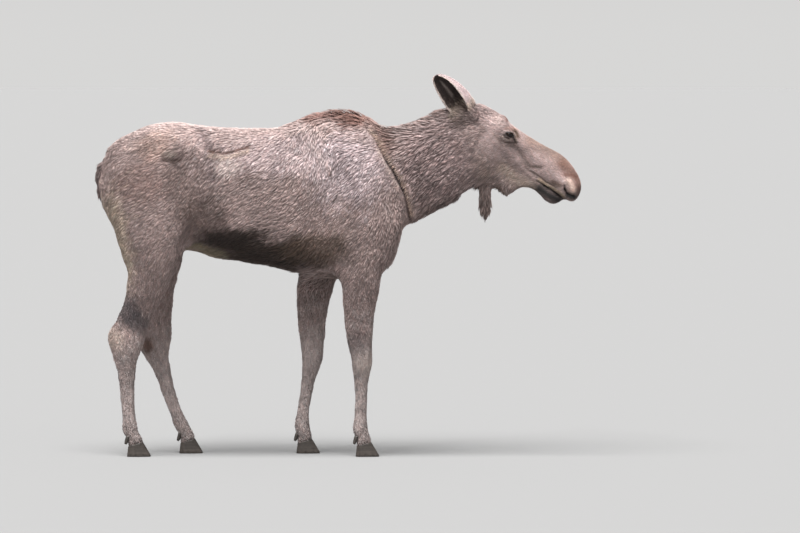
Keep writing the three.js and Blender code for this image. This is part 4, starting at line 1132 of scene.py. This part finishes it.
def tuft_mesh(name, shapes, colours, places):
    """One mesh of all the tufts, each a closed blade, with its patch of the bake map."""
    count, corners = shapes.shape[:2]
    tip = corners - 1
    faces = [(2, 1, 0)]
    for ring in range(0, tip - RING, RING):
        faces += [(ring + k, ring + (k + 1) % RING, ring + RING + (k + 1) % RING, ring + RING + k)
                  for k in range(RING)]
    top = tip - RING
    faces += [(top + k, top + (k + 1) % RING, tip) for k in range(RING)]
    pattern = np.concatenate(faces)
    sizes = np.array([len(f) for f in faces])
    loops = (np.arange(count)[:, None] * corners + pattern[None, :]).ravel()
    starts = np.concatenate([[0], np.cumsum(np.tile(sizes, count))[:-1]])

    mesh = bpy.data.meshes.new(name)
    mesh.vertices.add(count * corners)
    mesh.loops.add(len(loops))
    mesh.polygons.add(count * len(faces))
    mesh.vertices.foreach_set("co", shapes.astype(np.float32).ravel())
    mesh.loops.foreach_set("vertex_index", loops.astype(np.int32))
    mesh.polygons.foreach_set("loop_start", starts.astype(np.int32))
    mesh.polygons.foreach_set("use_smooth", np.ones(count * len(faces), bool))
    mesh.update(calc_edges=True)

    ring = np.arange(corners) // RING / max(1, (corners - 1) // RING)
    side = np.array(([-0.5, 0.5, 0.0] * RING)[:corners - 1] + [0.0])
    patch = np.stack([side, ring - 0.5], 1) * TUFT_PATCH
    flat = (places[:, None, :] + patch[None, :, :]).reshape(-1, 2)
    layer = mesh.uv_layers.new(name="OFBake")
    layer.data.foreach_set("uv", flat[loops].astype(np.float32).ravel())
    add_colour(mesh, colours.reshape(-1, 3))
    return mesh


# ------------------------------------------------------------------ finishes
COMBED_WAYS = np.radians([-25, 15, 50, 90])  # slopes of the four grains that the skin blends


def add_numbers(mesh, name, kind, field, values):
    layer = mesh.attributes.new(name, kind, "POINT")
    layer.data.foreach_set(field, values.astype(np.float32).ravel())


def combed_shares(lie):
    """How much of each of the four grains goes into the skin where the hair lies so."""
    slope = np.clip(np.arctan2(-lie[:, 2], -lie[:, 0]), COMBED_WAYS[0], COMBED_WAYS[-1])
    peaks = np.eye(len(COMBED_WAYS))
    return np.stack([np.interp(slope, COMBED_WAYS, peak) for peak in peaks], 1)


def new_group(name, inputs, outputs):
    made = bpy.data.node_groups.new(name, "ShaderNodeTree")
    for socket, kind, value in inputs:
        made.interface.new_socket(name=socket, in_out="INPUT", socket_type=kind).default_value = value
    for socket, kind in outputs:
        made.interface.new_socket(name=socket, in_out="OUTPUT", socket_type=kind)
    return made, made.nodes.new("NodeGroupInput").outputs, made.nodes.new("NodeGroupOutput").inputs


def math_node(tree, operation, *values):
    node = tree.nodes.new("ShaderNodeMath")
    node.operation = operation
    for socket, value in zip(node.inputs, values):
        if isinstance(value, (int, float)):
            socket.default_value = value
        else:
            tree.links.new(value, socket)
    return node.outputs[0]


def mapped(tree, value, low, high, to_low, to_high):
    node = tree.nodes.new("ShaderNodeMapRange")
    for socket, number in zip(("From Min", "From Max", "To Min", "To Max"), (low, high, to_low, to_high)):
        node.inputs[socket].default_value = number
    tree.links.new(value, node.inputs["Value"])
    return node.outputs["Result"]


def mixed(tree, share, first, second):
    """The first value where share is 0, the second where it is 1."""
    gap = math_node(tree, "SUBTRACT", second, first)
    return math_node(tree, "MULTIPLY_ADD", gap, share, first)


def noise(tree, place, scale, detail=2.0):
    node = tree.nodes.new("ShaderNodeTexNoise")
    node.inputs["Scale"].default_value = scale
    node.inputs["Detail"].default_value = detail
    tree.links.new(place, node.inputs["Vector"])
    return node.outputs[0]


def attribute(tree, name):
    node = tree.nodes.new("ShaderNodeAttribute")
    node.attribute_name = name
    return node.outputs


def scaled(tree, vector, by):
    node = tree.nodes.new("ShaderNodeVectorMath")
    node.operation = "SCALE"
    tree.links.new(by, node.inputs["Scale"])
    if isinstance(vector, tuple):
        node.inputs[0].default_value = vector
    else:
        tree.links.new(vector, node.inputs[0])
    return node.outputs[0]


def own_place(tree):
    return tree.nodes.new("ShaderNodeTexCoord").outputs["Object"]


def combed_grain():
    """Fine strands along the lie of the coat, from 0 to 1."""
    tree, inputs, outputs = new_group("combed_grain", [("Strand", "NodeSocketFloat", 0.003)],
                                      [("Strands", "NodeSocketFloat")])
    place = own_place(tree)
    stretch = scaled(tree, (11.0, 1.0, 1.0), inputs["Strand"])
    combed = attribute(tree, "combed")
    split = tree.nodes.new("ShaderNodeSeparateColor")
    tree.links.new(combed["Color"], split.inputs[0])
    total = 0.0
    for slope, share in zip(COMBED_WAYS, [*split.outputs, combed["Alpha"]]):
        turned = tree.nodes.new("ShaderNodeMapping")
        turned.vector_type = "TEXTURE"
        turned.inputs["Rotation"].default_value = (0, -slope, 0)
        tree.links.new(place, turned.inputs["Vector"])
        tree.links.new(stretch, turned.inputs["Scale"])
        total = math_node(tree, "MULTIPLY_ADD", noise(tree, turned.outputs[0], 1.0), share, total)
    tree.links.new(total, outputs["Strands"])
    return tree


def hide_group(grain):
    """The skin between the tufts: strands in the coat's colour, and leather where it is bare."""
    tree, inputs, outputs = new_group(
        "hide", [("Strand", "NodeSocketFloat", 0.003), ("Relief", "NodeSocketFloat", 0.002)],
        [("Color", "NodeSocketColor"), ("Roughness", "NodeSocketFloat"), ("Normal", "NodeSocketVector")])
    strands = tree.nodes.new("ShaderNodeGroup")
    strands.node_tree = grain
    tree.links.new(inputs["Strand"], strands.inputs["Strand"])
    bare = attribute(tree, "bare")["Fac"]
    pores = noise(tree, own_place(tree), 900.0)
    height = mixed(tree, bare, strands.outputs[0], math_node(tree, "MULTIPLY", pores, 0.5))
    shade = mixed(tree, bare, mapped(tree, strands.outputs[0], 0.3, 0.7, 0.60, 1.22),
                  mapped(tree, pores, 0.3, 0.7, 0.85, 1.10))
    dull = mixed(tree, bare, mapped(tree, strands.outputs[0], 0.3, 0.7, 0.85, 0.65),
                 mapped(tree, pores, 0.3, 0.7, 0.36, 0.50))
    tree.links.new(scaled(tree, attribute(tree, "coat")["Color"], shade), outputs["Color"])
    tree.links.new(dull, outputs["Roughness"])
    bump = tree.nodes.new("ShaderNodeBump")
    tree.links.new(height, bump.inputs["Height"])
    tree.links.new(inputs["Relief"], bump.inputs["Distance"])
    tree.links.new(bump.outputs[0], outputs["Normal"])
    return tree


def hair_group():
    """A tuft's own colour, a little uneven, and a sheen that differs from lock to lock."""
    tree, inputs, outputs = new_group(
        "hair", [("Sheen", "NodeSocketFloat", 0.6)],
        [("Color", "NodeSocketColor"), ("Roughness", "NodeSocketFloat")])
    uneven = noise(tree, own_place(tree), 160.0)
    shade = mapped(tree, uneven, 0.3, 0.7, 0.90, 1.10)
    tree.links.new(scaled(tree, attribute(tree, "coat")["Color"], shade), outputs["Color"])
    tree.links.new(math_node(tree, "MULTIPLY_ADD", uneven, 0.2, inputs["Sheen"]), outputs["Roughness"])
    return tree


IRIS_DARK, IRIS_PALE = (0.008, 0.004, 0.003, 1), (0.020, 0.010, 0.006, 1)
EYE_RIM, EYE_WHITE = (0.010, 0.007, 0.006, 1), (0.050, 0.030, 0.024, 1)
PUPIL, PUPIL_SIZE, IRIS_SIZE = (0.0035, 0.004, 0.006, 1), (0.44, 0.20), (0.70, 0.66)


def tinted(tree, value, low, dark, high, pale):
    """A colour that is dark where the value is low, and pale where it is high."""
    ramp = tree.nodes.new("ShaderNodeValToRGB")
    stops = ramp.color_ramp.elements
    stops[0].position, stops[0].color = low, dark
    stops[1].position, stops[1].color = high, pale
    tree.links.new(value, ramp.inputs[0])
    return ramp.outputs[0]


def eye_group():
    """Iris, pupil and the dark rim round them, from each point's place in the gaze."""
    tree, _, outputs = new_group("eye_look", [], [("Color", "NodeSocketColor")])
    split = tree.nodes.new("ShaderNodeSeparateXYZ")
    tree.links.new(attribute(tree, "gaze")["Vector"], split.inputs[0])
    forward, up, _ = split.outputs

    def ring(wide, tall):
        return math_node(tree, "SQRT", math_node(
            tree, "ADD", math_node(tree, "POWER", math_node(tree, "DIVIDE", forward, wide), 2.0),
            math_node(tree, "POWER", math_node(tree, "DIVIDE", up, tall), 2.0)))

    pupil, iris = ring(*PUPIL_SIZE), ring(*IRIS_SIZE)
    fibres = noise(tree, attribute(tree, "gaze")["Vector"], 14.0, 4.0)
    colour = tinted(tree, fibres, 0.25, IRIS_DARK, 0.75, IRIS_PALE)
    for share, shade in ((mapped(tree, iris, 0.90, 1.02, 0, 1), EYE_RIM),
                         (mapped(tree, iris, 1.08, 1.30, 0, 1), EYE_WHITE),
                         (mapped(tree, pupil, 1.08, 0.92, 0, 1), PUPIL)):
        mix = tree.nodes.new("ShaderNodeMix")
        mix.data_type = "RGBA"
        mix.inputs["B"].default_value = shade
        tree.links.new(share, mix.inputs["Factor"])
        tree.links.new(colour, mix.inputs["A"])
        colour = mix.outputs["Result"]
    tree.links.new(colour, outputs["Color"])
    return tree


HORN_DARK, HORN_PALE = (0.016, 0.013, 0.011, 1), (0.075, 0.061, 0.051, 1)
HORN_WORN = 0.035  # up to this level
HORN_SLOPE = math.radians(-28)  # of the growth rings
HORN_RELIEF = 0.0012


def horn_group():
    """Dark horn with growth rings round it, worn paler towards the ground."""
    tree, _, outputs = new_group(
        "horn_look", [],
        [("Color", "NodeSocketColor"), ("Height", "NodeSocketFloat"), ("Roughness", "NodeSocketFloat")])
    place = own_place(tree)
    flat = tree.nodes.new("ShaderNodeMapping")
    flat.inputs["Rotation"].default_value = (0, HORN_SLOPE, 0)
    flat.inputs["Scale"].default_value = (4.0, 4.0, 150.0)
    tree.links.new(place, flat.inputs["Vector"])
    rings = noise(tree, flat.outputs[0], 1.0)
    streaks = noise(tree, place, 90.0)
    split = tree.nodes.new("ShaderNodeSeparateXYZ")
    tree.links.new(place, split.inputs[0])
    worn = mapped(tree, split.outputs["Z"], HORN_WORN, 0.0, 0.0, 0.5)
    paleness = math_node(tree, "MULTIPLY_ADD", worn, streaks, mixed(tree, 0.4, rings, streaks))
    tree.links.new(tinted(tree, paleness, 0.25, HORN_DARK, 0.95, HORN_PALE), outputs["Color"])
    height = math_node(tree, "ADD", rings, math_node(tree, "MULTIPLY", streaks, 0.3))
    tree.links.new(height, outputs["Height"])
    tree.links.new(mapped(tree, streaks, 0.3, 0.7, 0.38, 0.60), outputs["Roughness"])
    return tree


def finish_of(name, group, sockets, **values):
    """A material whose surface takes its named sockets from a group."""
    material = bpy.data.materials.new(name)
    material.use_nodes = True
    tree = material.node_tree
    surface = tree.nodes["Principled BSDF"]
    look = tree.nodes.new("ShaderNodeGroup")
    look.node_tree = group
    for socket in sockets:
        tree.links.new(look.outputs[socket], surface.inputs["Base Color" if socket == "Color" else socket])
    for socket, value in values.items():
        socket = socket.replace("_", " ")
        (look.inputs if socket in look.inputs else surface.inputs)[socket].default_value = value
    return material


def ringed_horn():
    """The horn of hooves and dewclaws, with its growth rings in relief."""
    material = finish_of("horn", horn_group(), ("Color", "Roughness"))
    tree = material.node_tree
    relief = tree.nodes.new("ShaderNodeBump")
    relief.inputs["Distance"].default_value = HORN_RELIEF
    tree.links.new(tree.nodes["Group"].outputs["Height"], relief.inputs["Height"])
    tree.links.new(relief.outputs[0], tree.nodes["Principled BSDF"].inputs["Normal"])
    return material


HIDE, HAIR = hide_group(combed_grain()), hair_group()
HIDE_SOCKETS, HAIR_SOCKETS = ("Color", "Roughness", "Normal"), ("Color", "Roughness")
LONG_HIDE = finish_of("hide_body", HIDE, HIDE_SOCKETS, Strand=0.0032, Relief=0.004)
SHORT_HIDE = finish_of("hide_short", HIDE, HIDE_SOCKETS, Strand=0.0010, Relief=0.0012)
HAIRS = {"body_coat": finish_of("hair_body", HAIR, HAIR_SOCKETS, Sheen=0.55),
         "long_coat": finish_of("hair_long", HAIR, HAIR_SOCKETS, Sheen=0.52),
         "face_coat": finish_of("hair_face", HAIR, HAIR_SOCKETS, Sheen=0.60),
         "leg_coat": finish_of("hair_legs", HAIR, HAIR_SOCKETS, Sheen=0.60)}
EYE = finish_of("wet_eye", eye_group(), ("Color",), Roughness=0.04, Specular_IOR_Level=0.22)
HORN = ringed_horn()


# ------------------------------------------------------------------ hooves
HOOF_NODES = [f"{leg}_{piece}_{toe}" for leg in LEGS for piece in ("hoof", "dewclaw")
              for toe in ("inner", "outer")]
EDGE_ANGLE = math.radians(38)
SHARP, SOFT = {"hoof": 0.62, "dewclaw": 0.30}, 0.10  # how firmly subdivision keeps an edge
HOOF_ROUNDS = 2


def hoof(node):
    """A fine copy of the frame's hoof, rounded except along its sharp edges."""
    bm = merged_copy(node)
    crease = bm.edges.layers.float.new("crease_edge")
    firm = SHARP["hoof" if "_hoof_" in node else "dewclaw"]
    for e in bm.edges:
        e[crease] = firm if e.calc_face_angle(0) > EDGE_ANGLE else SOFT
    thing = new_object(f"{node}_horn", from_bmesh(node, bm))
    fine = thing.modifiers.new("fine", "SUBSURF")
    fine.levels = fine.render_levels = HOOF_ROUNDS
    mesh = with_modifiers(thing)
    mesh.polygons.foreach_set("use_smooth", np.ones(len(mesh.polygons), bool))
    return mesh


# ------------------------------------------------------------------ the coat
SHORTEST, LONGEST = 0.009, 0.034  # between these lengths the number of layers rises
PIECE_TRIANGLES = 190000
# How far the tone of each tuft, and of each lock of them, strays.
STRAY = {"body_coat": (0.10, 0.14), "long_coat": (0.10, 0.22),
         "face_coat": (0.14, 0.20), "leg_coat": (0.12, 0.16)}
TONES, TINTS = (0.5, 1.6), (0.004, 0.9)  # limits of that tone, and of the colour that comes out
TRIANGLES = {True: 10, False: 4}  # of a bent tuft and of a short spike
SHADES = {True: (0.55, 0.98), False: (0.70,)}  # of a tuft's rings, from its root on
TIP_SHADE = 1.32
# Tufts over each spot, in the shortest hair and in the longest; True is for bent tufts.
LAYERS = {True: (1.62, 2.25), False: (2.2, 2.2)}
WIDTH, WIDER = 0.0008, 0.095  # of a tuft: for no length, and more for each metre of it
UNEVEN, UNEVEN_SIZE = 0.13, 0.05  # how far the lie wanders, and over what length
# From where to where the tufts' shares lie: of length, lift and width, and of being drawn to locks.
LENGTHS, LIFTS, WIDTHS, PULLS = (0.65, 1.35), (0.5, 1.2), (0.7, 1.3), (0.2, 0.8)


def cover(length, bent):
    """How many tufts lie over each spot of skin, for hair of that length."""
    short, full = LAYERS[bent]
    return short + (full - short) * rise(length, SHORTEST, LONGEST)


def blade_width(length):
    return WIDTH + WIDER * length


def grow(name, slot, chosen, bent, every):
    """Covers the chosen faces with tufts, one leader in `every`, in as many pieces as they need."""
    length = groomed(GROUND.middles, GROUND.facing)[1]
    density = cover(length, bent) / (length * blade_width(length)) * chosen
    density = density * (1 - bareness(GROUND.middles))
    count = int((GROUND.areas * density).sum())
    roots, normals = GROUND.scattered(count, density)
    lie, length, lift = groomed(roots, normals)
    lie = unit(lie + UNEVEN * np.stack([ripple(roots, UNEVEN_SIZE, 10 + k) for k in range(3)], 1))
    length = length * CHANCE.uniform(*LENGTHS, count)
    lift = lift * CHANCE.uniform(*LIFTS, count)
    width = blade_width(length) * CHANCE.uniform(*WIDTHS, count)
    shapes = tuft_shapes(roots, normals, lie, length, lift, width, bent)
    leader = leaders_of(roots, lie, every)
    shapes = drawn_to(shapes, roots, leader, CHANCE.uniform(*PULLS, count), bent)
    own, shared = STRAY[slot]
    tone = 1 + own * CHANCE.normal(size=count) + shared * CHANCE.normal(size=count)[leader]
    base = coloured(roots, normals) * np.clip(tone, *TONES)[:, None]
    colours = np.stack([base * s for s in SHADES[bent] for _ in range(RING)] + [base * TIP_SHADE], 1)
    colours = np.clip(colours, *TINTS)
    pieces = math.ceil(count * TRIANGLES[bent] / PIECE_TRIANGLES)
    order = np.argsort(roots[:, 0], kind="stable")
    for i, part in enumerate(np.array_split(order, pieces)):
        title = f"{name}_{i + 1}" if pieces > 1 else name
        mesh = tuft_mesh(title, shapes[part], colours[part], flat_places(COARSE_SKIN, roots[part]))
        mesh.materials.append(HAIRS[slot])
        placed(title, mesh, slot)


def placed(name, mesh, slot, *replaced):
    thing = new_object(name, mesh)
    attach(thing, "root")
    if replaced:
        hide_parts(*replaced)
    return thing


# ------------------------------------------------------------------ the animal
UNDERCOAT = 0.85  # how bright the skin is between the tufts
FINE_HAIR = 0.0145  # shorter hair grows as spikes, longer hair as bent tufts
UNEVEN_BORDER, BORDER_SIZE, BORDER_SEED = 0.13, 0.025, 11
NECK_BEGINS = 0.40
BENT_LOCKS, SPIKE_LOCKS = 7, 5  # tufts for each leader


def bare_skin():
    """The skin inside the frame's flesh by the depth of the coat, with features, lids and ears."""
    skin, corners = fused_flesh()
    points = drawn_onto(skin, corners)
    set_points(skin, points)
    depth = groomed(points, normals_of(skin))[2]
    set_points(skin, points - normals_of(skin) * depth[:, None])
    body_sculpted(skin)
    head_sculpted(skin)
    lids_opened(skin)
    skin = with_ears(skin)
    skin.polygons.foreach_set("use_smooth", np.ones(len(skin.polygons), bool))
    return skin


def finished(skin):
    """Gives the skin its colours, the numbers that its finishes read, and the finishes."""
    points, normals = points_of(skin), normals_of(skin)
    lie, length, _ = groomed(points, normals)
    add_colour(skin, coloured(points, normals) * UNDERCOAT)
    add_numbers(skin, "bare", "FLOAT", "value", bareness(points))
    add_numbers(skin, "combed", "FLOAT_COLOR", "color", combed_shares(lie))
    skin.materials.append(LONG_HIDE)
    skin.materials.append(SHORT_HIDE)
    for p in skin.polygons:
        p.material_index = int(length[p.vertices[0]] < FINE_HAIR)


def eyes_and_hooves():
    for side, eye in zip(SIDES, EYES):
        mesh = eyeball(side, eye)
        mesh.materials.append(EYE)
        placed(f"eyeball_{SIDES[side]}", mesh, "eye", f"eye_{SIDES[side]}")
    for node in HOOF_NODES:
        mesh = hoof(node)
        mesh.materials.append(HORN)
        placed(f"{node}_horn", mesh, "hoof", node)


def coat():
    """Bent tufts where the hair is long, spikes where it is short, behind and ahead."""
    length = groomed(GROUND.middles, GROUND.facing)[1]
    border = FINE_HAIR * (1 + UNEVEN_BORDER * ripple(GROUND.middles, BORDER_SIZE, BORDER_SEED))
    bent, ahead = length > border, GROUND.middles[:, 0] > NECK_BEGINS
    grow("coat_body", "body_coat", bent & ~ahead, True, BENT_LOCKS)
    grow("coat_neck", "long_coat", bent & ahead, True, BENT_LOCKS)
    grow("coat_face", "face_coat", ~bent & ahead, False, SPIKE_LOCKS)
    grow("coat_legs", "leg_coat", ~bent & ~ahead, False, SPIKE_LOCKS)


studio()
SKIN = bare_skin()
COARSE_SKIN = coarse_skin(SKIN)
finished(SKIN)
placed("skin", SKIN, "body_coat", *FLESH, "ear_right", "ear_left")
eyes_and_hooves()
GROUND = Skin(SKIN)
coat()
